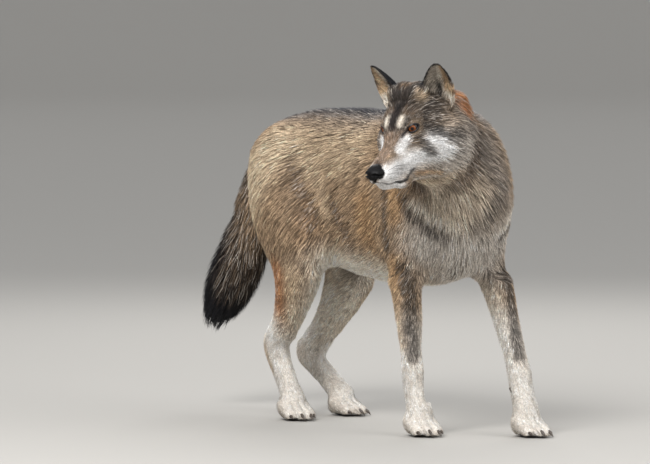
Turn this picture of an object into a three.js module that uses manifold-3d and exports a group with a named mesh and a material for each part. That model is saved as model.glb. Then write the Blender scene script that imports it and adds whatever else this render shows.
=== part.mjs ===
// A grey wolf, life size, standing square on four feet with its head turned to its right.
// Millimetres, +Z up, +X towards the chest, +Y to the animal's left, soles at z = 0.
// Every form reaches to the tips of the winter coat.
import * as THREE from "three";
import { mergeVertices } from "three/addons/utils/BufferGeometryUtils.js";
import Module from "manifold-3d";

const wasm = await Module();
wasm.setup();

// ---- driving dimensions ----
const withersHeight = 752;
const croupHeight = 720;
const trunkHalfWidth = 142;
const sternumHeight = 322;
const headYaw = -72; // degrees, from straight ahead towards the animal's right
const headPitch = 17; // degrees, nose down
const headRoll = 2;
const headCentre = [398, -258, 678]; // midway between the eyes
const earHeight = 96; // from its root inside the skull
const earHalfWidth = 34;
const eyeRadius = 13;
const clawLength = 22;
const clawRadius = 4;
const seam = 0.3; // clear gap between neighbouring pieces

const point = (p) => new THREE.Vector3(...p);
const radians = THREE.MathUtils.degToRad;
const up = point([0, 0, 1]);
const ahead = point([1, 0, 0]);

// ---- fields: negative inside, positive outside, about a distance in millimetres near the surface ----

const farAway = 100; // beyond this a form only says how far off its bounds are

const smoothMin = (a, b, reach) => {
  const near = Math.max(reach - Math.abs(a - b), 0) / reach;
  return Math.min(a, b) - (near * near * reach) / 4;
};

// The signed distance to an ellipsoid, to first order, from offsets already along its axes.
function ellipsoidDistance(u, v, w, ru, rv, rw) {
  const k0 = Math.hypot(u / ru, v / rv, w / rw);
  const k1 = Math.hypot(u / ru ** 2, v / rv ** 2, w / rw ** 2);
  return k1 < 1e-9 ? -Math.min(ru, rv, rw) : (k0 * (k0 - 1)) / k1;
}

// A soft form swept along stations { at, side, plus, minus }: side is its half width, and plus and minus
// are how far it reaches along and against the reference direction.
function sweep(stations, reference, steps = 3) {
  const spine = new THREE.CatmullRomCurve3(stations.map((s) => point(s.at)), false, "centripetal");
  const reaches = ["side", "plus", "minus"];
  const curves = reaches.map(
    (key) => new THREE.SplineCurve(stations.map((s, i) => new THREE.Vector2(i, s[key]))),
  );
  const count = (stations.length - 1) * steps;
  const rings = Array.from({ length: count + 1 }, (_, i) => ({
    at: spine.getPoint(i / count),
    reach: curves.map((curve) => curve.getPoint(i / count).y),
  }));
  const links = rings.slice(1).map((end, i) => {
    const start = rings[i];
    const along = end.at.clone().sub(start.at);
    const length = along.length();
    along.divideScalar(length);
    const across = reference.clone().addScaledVector(along, -reference.dot(along)).normalize();
    const side = across.clone().cross(along);
    return { start, end, along, across, side, length };
  });
  const bounds = new THREE.Box3().setFromPoints(rings.map((ring) => ring.at));
  bounds.expandByScalar(Math.max(...rings.flatMap((ring) => ring.reach)));
  const offset = new THREE.Vector3();
  return (p) => {
    let least = bounds.distanceToPoint(p);
    if (least > farAway) return least;
    least = Infinity;
    for (const { start, end, along, across, side, length } of links) {
      offset.subVectors(p, start.at);
      const t = Math.min(Math.max(offset.dot(along) / length, 0), 1);
      offset.addScaledVector(along, -t * length);
      const [rs, rp, rm] = start.reach.map((r, i) => r + t * (end.reach[i] - r));
      const v = offset.dot(across);
      const rv = v > 0 ? rp : rm;
      const cap = Math.min(rs, rv);
      const d = ellipsoidDistance(offset.dot(side), v, offset.dot(along), rs, rv, cap);
      if (d < least) least = d;
    }
    return least;
  };
}

const ellipsoid = (at, radii) => (p) =>
  ellipsoidDistance(p.x - at[0], p.y - at[1], p.z - at[2], ...radii);

const capsule = (from, to, r0, r1) =>
  sweep([{ at: from, side: r0, plus: r0, minus: r0 }, { at: to, side: r1, plus: r1, minus: r1 }], up, 1);

// Forms with their blend reach, joined one after another.
const joined = (forms) => (p) =>
  forms.reduce((d, [form, reach]) => (d === null ? form(p) : smoothMin(d, form(p), reach)), null);

// The same form on both sides of the plane y = 0.
const mirrored = (form) => {
  const q = new THREE.Vector3();
  return (p) => form(q.set(p.x, Math.abs(p.y), p.z));
};

const placed = (form, matrix) => {
  const inverse = matrix.clone().invert();
  const q = new THREE.Vector3();
  return (p) => form(q.copy(p).applyMatrix4(inverse));
};

// ---- trunk, neck and tail ----

// Each station: x, top, bottom, half width, and how far the spine is pushed to the left.
const trunkStations = [
  [-436, croupHeight - 84, 560, 50, -22],
  [-395, croupHeight - 50, 500, 84, -22],
  [-330, croupHeight - 22, 452, 102, -20],
  [-240, croupHeight - 5, 412, 108, -14],
  [-150, croupHeight - 3, 350, 114, -6],
  [-50, croupHeight - 4, sternumHeight + 4, 124, 0],
  [60, croupHeight - 2, sternumHeight - 4, trunkHalfWidth - 6, 0],
  [160, withersHeight - 26, sternumHeight - 2, trunkHalfWidth - 4, 0],
  [235, withersHeight - 28, sternumHeight + 10, trunkHalfWidth - 12, 0],
  [295, withersHeight - 74, sternumHeight + 44, 100, 0],
  [335, withersHeight - 130, sternumHeight + 100, 80, -2],
].map(([x, top, bottom, side, left]) => {
  const belt = bottom + 0.56 * (top - bottom);
  return { at: [x, left, belt], side, plus: top - belt, minus: belt - bottom };
});

// The neck leaves the chest forwards and bends to the right into the back of the skull.
const neckStations = [
  { at: [215, 2, 592], side: 98, plus: 126, minus: 165 },
  { at: [270, -6, 604], side: 88, plus: 114, minus: 160 },
  { at: [312, -34, 620], side: 82, plus: 103, minus: 146 },
  { at: [342, -82, 640], side: 88, plus: 100, minus: 122 },
  { at: [362, -132, 660], side: 98, plus: 102, minus: 100 },
];

const tailStations = [
  { at: [-405, -20, 640], side: 42, plus: 36, minus: 36 },
  { at: [-444, -30, 598], side: 41, plus: 37, minus: 37 },
  { at: [-468, -42, 530], side: 47, plus: 48, minus: 44 },
  { at: [-480, -55, 445], side: 60, plus: 62, minus: 56 },
  { at: [-502, -68, 368], side: 69, plus: 74, minus: 64 },
  { at: [-534, -80, 298], side: 66, plus: 70, minus: 64 },
  { at: [-562, -90, 236], side: 48, plus: 50, minus: 48 },
  { at: [-580, -97, 190], side: 16, plus: 16, minus: 16 },
];

// ---- legs: joints for each leg, and sections along its bones shared by left and right ----

const legs = {
  front_right: {
    root: [262, -84, 530], hinge: [190, -96, 396],
    ankle: [200, -74, 140], knuckle: [208, -64, 46], turn: -4,
  },
  front_left: {
    root: [270, 84, 530], hinge: [236, 102, 396], ankle: [330, 118, 142], knuckle: [350, 123, 46], turn: 6,
  },
  hind_right: {
    root: [-300, -92, 600], hinge: [-172, -116, 398], ankle: [-318, -92, 168], knuckle: [-264, -84, 46],
    turn: -4,
  },
  hind_left: {
    root: [-304, 52, 600], hinge: [-232, 80, 366], ankle: [-396, 48, 142], knuckle: [-290, 70, 46],
    turn: 18,
  },
};

// Sections: bone (0 root to hinge, 1 hinge to ankle, 2 ankle to knuckle), share along it, shift back,
// then half width, reach ahead and reach behind.
const frontSections = [
  [0, 0.0, 14, 46, 66, 84],
  [0, 0.5, 14, 48, 62, 74],
  [0, 1.0, 4, 43, 48, 50],
  [1, 0.22, 0, 37, 40, 40],
  [1, 0.5, 0, 31, 33, 33],
  [1, 0.8, 0, 27, 28, 28],
  [1, 1.0, 0, 28, 26, 28],
  [2, 0.3, 2, 27, 24, 30],
  [2, 0.7, 0, 29, 24, 26],
  [2, 1.0, 0, 33, 24, 24],
];
const hindSections = [
  [0, 0.0, 10, 58, 84, 92],
  [0, 0.25, 24, 70, 100, 104],
  [0, 0.6, 34, 68, 110, 106],
  [0, 0.95, 26, 58, 92, 98],
  [1, 0.22, -4, 48, 70, 82],
  [1, 0.5, -14, 39, 52, 56],
  [1, 0.78, -12, 32, 38, 38],
  [1, 1.0, 0, 27, 30, 44],
  [2, 0.3, 6, 25, 28, 34],
  [2, 0.7, 2, 25, 26, 27],
  [2, 1.0, 0, 30, 24, 24],
];

function legForm(leg, sections) {
  const joints = [leg.root, leg.hinge, leg.ankle, leg.knuckle].map(point);
  const stations = sections.map(([bone, share, back, side, plus, minus]) => {
    const at = joints[bone].clone().lerp(joints[bone + 1], share).addScaledVector(ahead, -back);
    return { at: at.toArray(), side, plus, minus };
  });
  return sweep(stations, ahead);
}

// ---- paws ----

// Toes from inner to outer: distance ahead of the knuckle, distance across, and length.
const toes = [
  [0, -30, 46],
  [14, -11, 54],
  [14, 11, 54],
  [0, 30, 46],
];
const toeRadius = 13;
const knuckleHeight = 34;
const tipHeight = 11;

// The paw's own frame: below the knuckle on the floor, +X along the toes.
function pawFrame(leg) {
  const [x, y] = leg.knuckle;
  return new THREE.Matrix4()
    .makeRotationZ(radians(leg.turn))
    .setPosition(x, y, 0);
}

const toeForm = ([start, across, length]) =>
  capsule(
    [start - 8, across * 0.86, knuckleHeight], [start + length - 12, across, tipHeight],
    toeRadius + 1, toeRadius - 2,
  );

const pawForm = joined([
  [ellipsoid([0, 0, 22], [36, 36, 24]), 12],
  ...toes.map((toe) => [toeForm(toe), 5]),
]);

// A claw: a cone with its root in the toe, dipping forwards to just above the floor.
function clawGeometry(dip) {
  const claw = new THREE.ConeGeometry(clawRadius, clawLength, 5, 2);
  return claw.translate(0, clawLength / 2, 0).rotateZ(-radians(90)).rotateY(radians(dip));
}
const toeClaw = ([start, across, length], frame) =>
  clawGeometry(26).translate(start + length - 12, across, tipHeight + 4).applyMatrix4(frame);
const dewclaw = ({ ankle: [x, y, z], root }) =>
  clawGeometry(62).translate(x - 8, y - Math.sign(root[1]) * 26, z - 40);

// ---- head, in its own frame: +X along the muzzle, +Y left, +Z up, origin between the eyes ----

const headMatrix = new THREE.Matrix4()
  .makeRotationFromEuler(new THREE.Euler(radians(headRoll), radians(headPitch), radians(headYaw), "ZYX"))
  .setPosition(...headCentre);

const muzzle = sweep(
  [
    { at: [92, 0, -57], side: 21, plus: 18, minus: 20 },
    { at: [74, 0, -53], side: 25, plus: 23, minus: 27 },
    { at: [46, 0, -48], side: 28, plus: 27, minus: 33 },
    { at: [20, 0, -42], side: 31, plus: 32, minus: 38 },
    { at: [-4, 0, -35], side: 36, plus: 39, minus: 44 },
    { at: [-32, 0, -28], side: 45, plus: 52, minus: 50 },
  ],
  up,
);
const jaw = sweep(
  [
    { at: [86, 0, -86], side: 15, plus: 12, minus: 11 },
    { at: [62, 0, -90], side: 21, plus: 14, minus: 13 },
    { at: [24, 0, -94], side: 29, plus: 18, minus: 16 },
    { at: [-22, 0, -92], side: 44, plus: 28, minus: 26 },
  ],
  up,
);
const skull = sweep(
  [
    { at: [2, 0, -6], side: 36, plus: 24, minus: 40 },
    { at: [-22, 0, 2], side: 50, plus: 38, minus: 54 },
    { at: [-56, 0, 6], side: 66, plus: 56, minus: 66 },
    { at: [-92, 0, 4], side: 74, plus: 70, minus: 74 },
    { at: [-128, 0, 0], side: 76, plus: 68, minus: 76 },
  ],
  up,
);
const cheek = ellipsoid([-34, 44, -34], [46, 32, 36]);
const ruff = ellipsoid([-86, 58, -46], [52, 50, 62]);
const jowl = ellipsoid([-8, 28, -66], [40, 20, 26]);
const brow = ellipsoid([-8, 30, 19], [20, 15, 11]);
const headForm = joined([
  [skull, 30],
  [muzzle, 22],
  [jaw, 12],
  [mirrored(cheek), 20],
  [mirrored(jowl), 18],
  [mirrored(ruff), 26],
  [mirrored(brow), 10],
]);

// An ear: a curved, tapering shell, hollow side forward, as a closed mesh in the head's frame.
// Each row: share of the height, half width as a share of the full one, and how far round it curls.
const earRows = [
  [0.0, 0.84, 84],
  [0.18, 0.97, 80],
  [0.38, 1.0, 70],
  [0.58, 0.86, 58],
  [0.76, 0.67, 46],
  [0.9, 0.42, 36],
  [1.0, 0.13, 30],
];
const earColumns = [-1, -0.72, -0.38, 0, 0.38, 0.72, 1];
const earRoot = [-76, 63, 32];
const earTip = [-68, 87, 32 + earHeight];
const earTurn = 20; // degrees the opening looks outward

function earGeometry(side) {
  const root = point(earRoot);
  const axis = point(earTip).sub(root);
  const rise = axis.clone().normalize();
  const outward = new THREE.Vector3(-Math.sin(radians(earTurn)), Math.cos(radians(earTurn)), 0);
  outward.addScaledVector(rise, -outward.dot(rise)).normalize();
  const forward = outward.clone().cross(rise);
  const layers = [1, -1].map((face) =>
    earRows.flatMap(([share, width, curl]) => {
      const half = earHalfWidth * width;
      const radius = half / Math.sin(radians(curl));
      const thickness = 4.2 - 2.4 * share;
      return earColumns.map((column) => {
        const angle = radians(curl) * column;
        const rim = Math.abs(column) === 1 ? 0.35 : 1;
        const reach = radius + face * -thickness * rim;
        return root.clone()
          .addScaledVector(axis, share)
          .addScaledVector(outward, reach * Math.sin(angle))
          .addScaledVector(forward, radius * Math.cos(radians(curl)) - reach * Math.cos(angle));
      });
    }),
  );
  const wide = earColumns.length;
  const tall = earRows.length;
  const cell = (layer, row, column) => (layer * tall + row) * wide + column;
  const index = [];
  const quad = (a, b, c, d) => index.push(a, b, c, a, c, d);
  for (let r = 0; r < tall - 1; r++) {
    for (let c = 0; c < wide - 1; c++) {
      quad(cell(0, r, c), cell(0, r, c + 1), cell(0, r + 1, c + 1), cell(0, r + 1, c));
      quad(cell(1, r, c), cell(1, r + 1, c), cell(1, r + 1, c + 1), cell(1, r, c + 1));
    }
    quad(cell(0, r, 0), cell(0, r + 1, 0), cell(1, r + 1, 0), cell(1, r, 0));
    quad(cell(0, r, wide - 1), cell(1, r, wide - 1), cell(1, r + 1, wide - 1), cell(0, r + 1, wide - 1));
  }
  for (let c = 0; c < wide - 1; c++) {
    quad(cell(0, 0, c), cell(1, 0, c), cell(1, 0, c + 1), cell(0, 0, c + 1));
    quad(cell(0, tall - 1, c), cell(0, tall - 1, c + 1), cell(1, tall - 1, c + 1), cell(1, tall - 1, c));
  }
  const points = layers.flat();
  if (side < 0) {
    points.forEach((p) => p.setY(-p.y));
    index.reverse();
  }
  return new THREE.BufferGeometry().setFromPoints(points).setIndex(index).applyMatrix4(headMatrix);
}

const eyeCentre = [-11, 35, 3];
const eyeGeometry = (side) =>
  new THREE.SphereGeometry(eyeRadius, 12, 7)
    .translate(eyeCentre[0], side * eyeCentre[1], eyeCentre[2])
    .applyMatrix4(headMatrix);

// The opening between the lids, looking forwards and outwards.
const orbitTurn = 42;
const orbitGeometry = (side) =>
  new THREE.SphereGeometry(1, 8, 6)
    .scale(26, 15, 12)
    .rotateZ(side * radians(orbitTurn))
    .translate(9, side * 53, 4)
    .applyMatrix4(headMatrix);

// The nose leather: a pad with a fuller wing on each side.
const noseForm = joined([
  [ellipsoid([107, 0, -56], [16, 15, 16]), 4],
  [mirrored(ellipsoid([105, 10, -58], [13, 11, 13])), 4],
]);

const noseGeometry = () =>
  surfaceNet(noseForm, [80, -36, -88], [140, 36, -26], [8, 8, 8]).applyMatrix4(headMatrix);

// ---- the whole animal ----

const trunk = sweep(trunkStations, up);
const neck = sweep(neckStations, up);
const tail = sweep(tailStations, ahead);
const legForms = Object.entries(legs).flatMap(([name, leg]) => {
  const hind = name.startsWith("hind");
  return [
    [legForm(leg, hind ? hindSections : frontSections), hind ? 34 : 26],
    [placed(pawForm, pawFrame(leg)), 10],
  ];
});
const body = joined([[trunk, 40], [neck, 44], [placed(headForm, headMatrix), 34], ...legForms]);

// ---- from a field to a closed mesh: surface nets, then each vertex pulled onto the surface ----

const cellCorners = [0, 1, 2, 3, 4, 5, 6, 7].map((i) => [i & 1, (i >> 1) & 1, (i >> 2) & 1]);
const cellEdges = cellCorners.flatMap((a, i) =>
  [1, 2, 4].filter((bit) => !(i & bit)).map((bit) => [i, i | bit]),
);

const cellFaces = [[1, 2, 4], [2, 4, 1], [4, 1, 2]].flatMap(([u, v, w]) =>
  [0, w].map((base) => [base, base | u, base | u | v, base | v]),
);

// Whether a set of a cell's corners hangs together along the cell's edges.
function connected(corners) {
  const reached = new Set(corners.slice(0, 1));
  for (const corner of reached)
    for (const bit of [1, 2, 4]) if (corners.includes(corner ^ bit)) reached.add(corner ^ bit);
  return reached.size === corners.length;
}

// A cell the surface passes through once only.
function simple(inside) {
  const corners = [0, 1, 2, 3, 4, 5, 6, 7];
  const twisted = ([a, b, c, d]) =>
    inside[a] === inside[c] && inside[b] === inside[d] && inside[a] !== inside[b];
  return (
    connected(corners.filter((n) => inside[n])) &&
    connected(corners.filter((n) => !inside[n])) &&
    !cellFaces.some(twisted)
  );
}

// Fills the nearest outside corner of every cell the surface passes through twice.
function settle(values, cells) {
  for (let settled = false; !settled; ) {
    settled = true;
    for (const slots of cells) {
      if (simple(slots.map((slot) => values[slot] < 0))) continue;
      const outside = slots.filter((slot) => values[slot] >= 0);
      values[outside.reduce((a, b) => (values[a] < values[b] ? a : b))] = -1e-3;
      settled = false;
    }
  }
}

function surfaceNet(field, low, high, cell) {
  const counts = low.map((v, i) => Math.ceil((high[i] - v) / cell[i]) + 1);
  const [nx, ny, nz] = counts;
  const at = (i, j, k) => (k * ny + j) * nx + i;
  const size = point(cell);
  const start = point(low);
  const place = (i, j, k) => new THREE.Vector3(i, j, k).multiply(size).add(start);
  const frame = new THREE.Box3(start.clone().add(size), point(high).sub(size));
  const boxed = (p) =>
    Math.max(
      field(p), frame.min.x - p.x, p.x - frame.max.x,
      frame.min.y - p.y, p.y - frame.max.y, frame.min.z - p.z, p.z - frame.max.z,
    );
  const values = new Float32Array(nx * ny * nz);
  for (let k = 0; k < nz; k++)
    for (let j = 0; j < ny; j++)
      for (let i = 0; i < nx; i++) values[at(i, j, k)] = boxed(place(i, j, k));

  const cells = [];
  for (let k = 0; k < nz - 1; k++)
    for (let j = 0; j < ny - 1; j++)
      for (let i = 0; i < nx - 1; i++)
        cells.push({ base: [i, j, k], slots: cellCorners.map(([a, b, c]) => at(i + a, j + b, k + c)) });
  settle(values, cells.map(({ slots }) => slots));

  const vertices = [];
  const vertexOf = new Map();
  for (const { base, slots } of cells) {
    const corner = slots.map((slot) => values[slot]);
    const crossings = cellEdges.filter(([a, b]) => corner[a] < 0 !== corner[b] < 0);
    if (!crossings.length) continue;
    const mean = new THREE.Vector3();
    for (const [a, b] of crossings) {
      const t = corner[a] / (corner[a] - corner[b]);
      mean.add(point(cellCorners[a]).lerp(point(cellCorners[b]), t));
    }
    mean.divideScalar(crossings.length).multiply(size).add(place(...base));
    vertexOf.set(slots[0], vertices.length);
    vertices.push(pulledOnto(boxed, mean, Math.min(...cell) / 2));
  }

  const index = [];
  const steps = [[1, 0, 0], [0, 1, 0], [0, 0, 1]];
  for (let k = 1; k < nz - 1; k++)
    for (let j = 1; j < ny - 1; j++)
      for (let i = 1; i < nx - 1; i++)
        steps.forEach(([a, b, c], axis) => {
          const inside = values[at(i, j, k)] < 0;
          if (inside === values[at(i + a, j + b, k + c)] < 0) return;
          const u = steps[(axis + 1) % 3];
          const v = steps[(axis + 2) % 3];
          const ring = [[0, 0], [1, 0], [1, 1], [0, 1]].map(([m, n]) =>
            vertexOf.get(at(i - m * u[0] - n * v[0], j - m * u[1] - n * v[1], k - m * u[2] - n * v[2])),
          );
          if (!inside) ring.reverse();
          index.push(ring[0], ring[1], ring[2], ring[0], ring[2], ring[3]);
        });
  const geometry = new THREE.BufferGeometry().setFromPoints(vertices);
  geometry.setIndex(index);
  return geometry;
}

function pulledOnto(field, start, limit) {
  const p = start.clone();
  const probe = new THREE.Vector3();
  const h = 0.5;
  for (let round = 0; round < 3; round++) {
    const value = field(p);
    const slope = new THREE.Vector3(
      field(probe.copy(p).setX(p.x + h)) - field(probe.copy(p).setX(p.x - h)),
      field(probe.copy(p).setY(p.y + h)) - field(probe.copy(p).setY(p.y - h)),
      field(probe.copy(p).setZ(p.z + h)) - field(probe.copy(p).setZ(p.z - h)),
    ).divideScalar(2 * h);
    p.addScaledVector(slope, -value / Math.max(slope.lengthSq(), 0.2));
    const moved = p.clone().sub(start);
    if (moved.length() > limit) p.copy(start).addScaledVector(moved.normalize(), limit);
  }
  return p;
}

// ---- solids ----

function solidFrom(geometry) {
  const bare = geometry.index ? geometry.toNonIndexed() : geometry.clone();
  const plain = new THREE.BufferGeometry().setAttribute("position", bare.getAttribute("position"));
  const merged = mergeVertices(plain, 1e-3);
  const mesh = new wasm.Mesh({
    numProp: 3,
    vertProperties: merged.attributes.position.array,
    triVerts: new Uint32Array(merged.index.array),
  });
  return new wasm.Manifold(mesh);
}

// The same closed shape with every vertex moved out along its normal.
function swollen(geometry, grow) {
  const { position: corners } = geometry.toNonIndexed().attributes;
  const shape = mergeVertices(new THREE.BufferGeometry().setAttribute("position", corners), 1e-3);
  shape.computeVertexNormals();
  const { position, normal } = shape.attributes;
  for (let i = 0; i < position.count; i++) {
    const moved = new THREE.Vector3().fromBufferAttribute(position, i);
    moved.addScaledVector(new THREE.Vector3().fromBufferAttribute(normal, i), grow);
    position.setXYZ(i, ...moved.toArray());
  }
  return shape;
}

function geometryFrom(solid) {
  const mesh = solid.getMesh();
  const geometry = new THREE.BufferGeometry();
  geometry.setAttribute("position", new THREE.BufferAttribute(new Float32Array(mesh.vertProperties), 3));
  geometry.setIndex(new THREE.BufferAttribute(new Uint32Array(mesh.triVerts), 1));
  return geometry;
}

// The half of space behind a plane, drawn in by a gap, as a box with one face on it.
const halfSize = 2000;
function behind({ through, facing }, gap) {
  const normal = point(facing).normalize();
  const box = new THREE.BoxGeometry(halfSize, halfSize, halfSize);
  box.translate(0, 0, -halfSize / 2 - gap);
  box.applyQuaternion(new THREE.Quaternion().setFromUnitVectors(up, normal));
  box.translate(...through);
  return solidFrom(box);
}

const turned = ({ through, facing }) => ({ through, facing: facing.map((v) => -v) });
const region = (planes, gap) =>
  planes.map((plane) => behind(plane, gap)).reduce((a, b) => a.intersect(b));

// ---- where the animal is parted: each plane faces away from the trunk ----

const floor = { through: [0, 0, 0], facing: [0, 0, -1] };
const collar = { through: [276, 0, 610], facing: [0.87, -0.2, 0.42] };
const nape = { through: [384, -150, 668], facing: [0.25, -0.96, -0.1] };
const waist = { through: [-60, 0, 500], facing: [1, 0, 0] };
const dock = { through: [-424, -28, 620], facing: [-0.94, -0.2, -0.1] };
const brush = { through: [-484, -52, 470], facing: [-0.2, -0.15, -1] };
const brushTip = { through: [-520, -76, 335], facing: [-0.45, -0.2, -1] };

// The block of space that holds a limb where it lies on the trunk, open below.
function limbBlock(name, [x, y, z]) {
  const hind = name.startsWith("hind");
  const side = Math.sign(y);
  const middle = hind ? -18 : 0;
  return [
    { through: [0, middle + side * (hind ? 0 : 60), 0], facing: [0, -side, 0] },
    { through: [0, middle + side * 62, z + (hind ? 20 : 40)], facing: [0, -side, 0.6] },
    { through: [x + (hind ? 196 : 120), 0, 400], facing: [1, 0, 0.2] },
    { through: [x - (hind ? 180 : 152), 0, z], facing: [-1, 0, 0.1] },
  ];
}

// ---- pieces of flesh: each a window on the whole body, in its own frame, cut at its planes ----

const world = new THREE.Matrix4();

function flesh({ low, high, cell, form = body, frame = world, planes = [], without = [], grow = 0 }) {
  const margin = cell.map((size) => 2.5 * size);
  const from = low.map((v, i) => v - margin[i]);
  const to = high.map((v, i) => v + margin[i]);
  const local = placed(form, frame.clone().invert());
  const net = surfaceNet((p) => local(p) - grow, from, to, cell);
  let solid = solidFrom(net.applyMatrix4(frame));
  if (planes.length) solid = solid.intersect(region(planes, seam / 2));
  for (const block of without) solid = solid.subtract(region(block, -seam / 2));
  return solid;
}

// Keeps the largest body, dropping slivers that a cut leaves beside it.
const largest = (solid) =>
  solid.decompose().reduce((a, b) => (a.volume() > b.volume() ? a : b));

const coat = {
  grey: new THREE.MeshStandardMaterial({ color: 0x8f8574, roughness: 0.9 }),
  saddle: new THREE.MeshStandardMaterial({ color: 0x5f5b57, roughness: 0.9 }),
  tan: new THREE.MeshStandardMaterial({ color: 0xa88a63, roughness: 0.9 }),
  pale: new THREE.MeshStandardMaterial({ color: 0xcfc3b2, roughness: 0.9 }),
  black: new THREE.MeshStandardMaterial({ color: 0x2b2a2e, roughness: 0.9 }),
};
const noseLeather = new THREE.MeshStandardMaterial({ color: 0x17161a, roughness: 0.45 });
const cornea = new THREE.MeshStandardMaterial({ color: 0x8a4a1c, roughness: 0.08 });
const horn = new THREE.MeshStandardMaterial({ color: 0x2a2523, roughness: 0.5 });

const wolf = new THREE.Group();

function show(name, solid, material, parent = wolf) {
  const mesh = new THREE.Mesh(geometryFrom(largest(solid)), material);
  mesh.name = name;
  parent.add(mesh);
  return mesh;
}

const limbs = Object.entries(legs).map(([name, leg]) => {
  const hind = name.startsWith("hind");
  return { name, leg, hind, block: limbBlock(name, leg.root) };
});
const blocks = limbs.map(({ block }) => block);

// ---- tail: one net, cut across twice ----
const tailWindow = { low: [-640, -160, 170], high: [-370, 20, 670], cell: [28, 28, 34], form: tail };
const tailSolid = flesh({ ...tailWindow, planes: [turned(dock)] });
const tailRoom = flesh({ ...tailWindow, grow: 5 * seam });
const tailLengths = {
  tail_root: [[brush], coat.grey],
  tail_brush: [[turned(brush), brushTip], coat.black],
  tail_tip: [[turned(brushTip)], coat.black],
};
for (const [name, [planes, material]] of Object.entries(tailLengths))
  show(name, tailSolid.intersect(region(planes, seam / 2)), material);

// ---- trunk and neck ----
show(
  "chest",
  flesh({
    low: [-60, -160, 300], high: [400, 160, 780], cell: [64, 48, 50],
    planes: [turned(waist), collar], without: blocks.slice(0, 2),
  }),
  coat.grey,
);
show(
  "loin",
  flesh({
    low: [-480, -170, 300], high: [-60, 150, 750], cell: [62, 48, 48],
    planes: [waist, dock], without: blocks.slice(2),
  }),
  coat.saddle,
);
show(
  "neck",
  flesh({
    low: [190, -200, 430], high: [460, 130, 780], cell: [40, 40, 40],
    planes: [turned(collar), nape],
  }),
  coat.grey,
);

// ---- legs ----
for (const { name, leg, hind, block } of limbs) {
  const [x, y] = leg.root;
  const [ax, ay, az] = leg.ankle;
  const [hx, hy, hz] = leg.hinge;
  const hinge = { through: [0, 0, hz - (hind ? 55 : 50)], facing: [0, 0, -1] };
  const ankle = { through: [0, 0, az + (hind ? 26 : 8)], facing: [0, 0, -1] };
  const paw = { through: [0, 0, 74], facing: [0, 0, -1] };

  const upper = flesh({
    low: [x - 160, y - 80, hinge.through[2]], high: [x + 220, y + 80, 720],
    cell: [52, 42, 52], planes: [...block, hinge, collar],
  });
  if (hind) show(`${name}_thigh`, upper.subtract(tailRoom), coat.tan);
  else show(`${name}_shoulder`, upper, coat.grey);

  const lower = flesh({
    low: [Math.min(ax, hx) - 90, Math.min(ay, hy) - 60, ankle.through[2]],
    high: [Math.max(ax, hx) + 90, Math.max(ay, hy) + 60, hinge.through[2]],
    cell: [28, 23, 48], planes: [...block, turned(hinge), ankle],
  });
  show(`${name}_${hind ? "shank" : "forearm"}`, lower, hind ? coat.tan : coat.pale);

  const cannon = flesh({
    low: [ax - 60, ay - 50, paw.through[2]], high: [ax + 120, ay + 60, ankle.through[2]],
    cell: [20, 18, 32], planes: [...block, turned(ankle), paw],
  });
  if (hind) show(`${name}_hock`, cannon, coat.pale);
  else {
    show(`${name}_pastern`, cannon.subtract(solidFrom(swollen(dewclaw(leg), 3 * seam))), coat.pale);
    show(`${name}_dewclaw`, solidFrom(dewclaw(leg)), horn);
  }

  const frame = pawFrame(leg);
  const sole = flesh({
    low: [-44, -52, 0], high: [76, 52, 74], cell: [14.6, 11.8, 14], frame, planes: [turned(paw), floor],
  });
  const room = solidFrom(swollen(geometryFrom(sole), 2 * seam));
  toes.forEach((toe, i) => {
    show(`${name}_claw_${i + 1}`, solidFrom(toeClaw(toe, frame)).subtract(room), horn);
  });
  show(`${name}_paw`, sole, coat.pale);
}

// ---- head ----
const inHead = ({ through, facing }) => ({
  through: point(through).applyMatrix4(headMatrix).toArray(),
  facing: point(facing).transformDirection(headMatrix).toArray(),
});
const mouth = inHead({ through: [22, 0, -86], facing: [0, 0, 1] });
const jawHinge = inHead({ through: [16, 0, 0], facing: [-1, 0, 0] });
const fittings = {
  nose: [noseGeometry(), noseLeather],
  eye_left: [eyeGeometry(1), cornea],
  eye_right: [eyeGeometry(-1), cornea],
  ear_left: [earGeometry(1), coat.tan],
  ear_right: [earGeometry(-1), coat.tan],
};

let skullSolid = flesh({
  low: [-200, -125, -130], high: [115, 125, 85], cell: [22, 18, 18], frame: headMatrix,
  planes: [turned(nape), turned(collar)],
});
for (const [name, [geometry, material]] of Object.entries(fittings)) {
  skullSolid = skullSolid.subtract(solidFrom(swollen(geometry, 3 * seam)));
  show(name, solidFrom(geometry), material);
}
for (const side of [1, -1]) skullSolid = skullSolid.subtract(solidFrom(orbitGeometry(side)));
show("lower_jaw", skullSolid.intersect(region([mouth, jawHinge], seam / 2)), coat.pale);
show("head", skullSolid.subtract(region([mouth, jawHinge], -seam / 2)), coat.grey);

// ---- the origin: on the floor, under the middle of everything ----
const extent = new THREE.Box3().setFromObject(wolf);
const middle = extent.getCenter(new THREE.Vector3());
for (const mesh of wolf.children) mesh.geometry.translate(-middle.x, -middle.y, -extent.min.z);

export default wolf;
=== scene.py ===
import math
import time

import bmesh
import bpy
import numpy as np
from mathutils import Matrix, Vector
from mathutils.bvhtree import BVHTree
from mathutils.kdtree import KDTree


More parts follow.
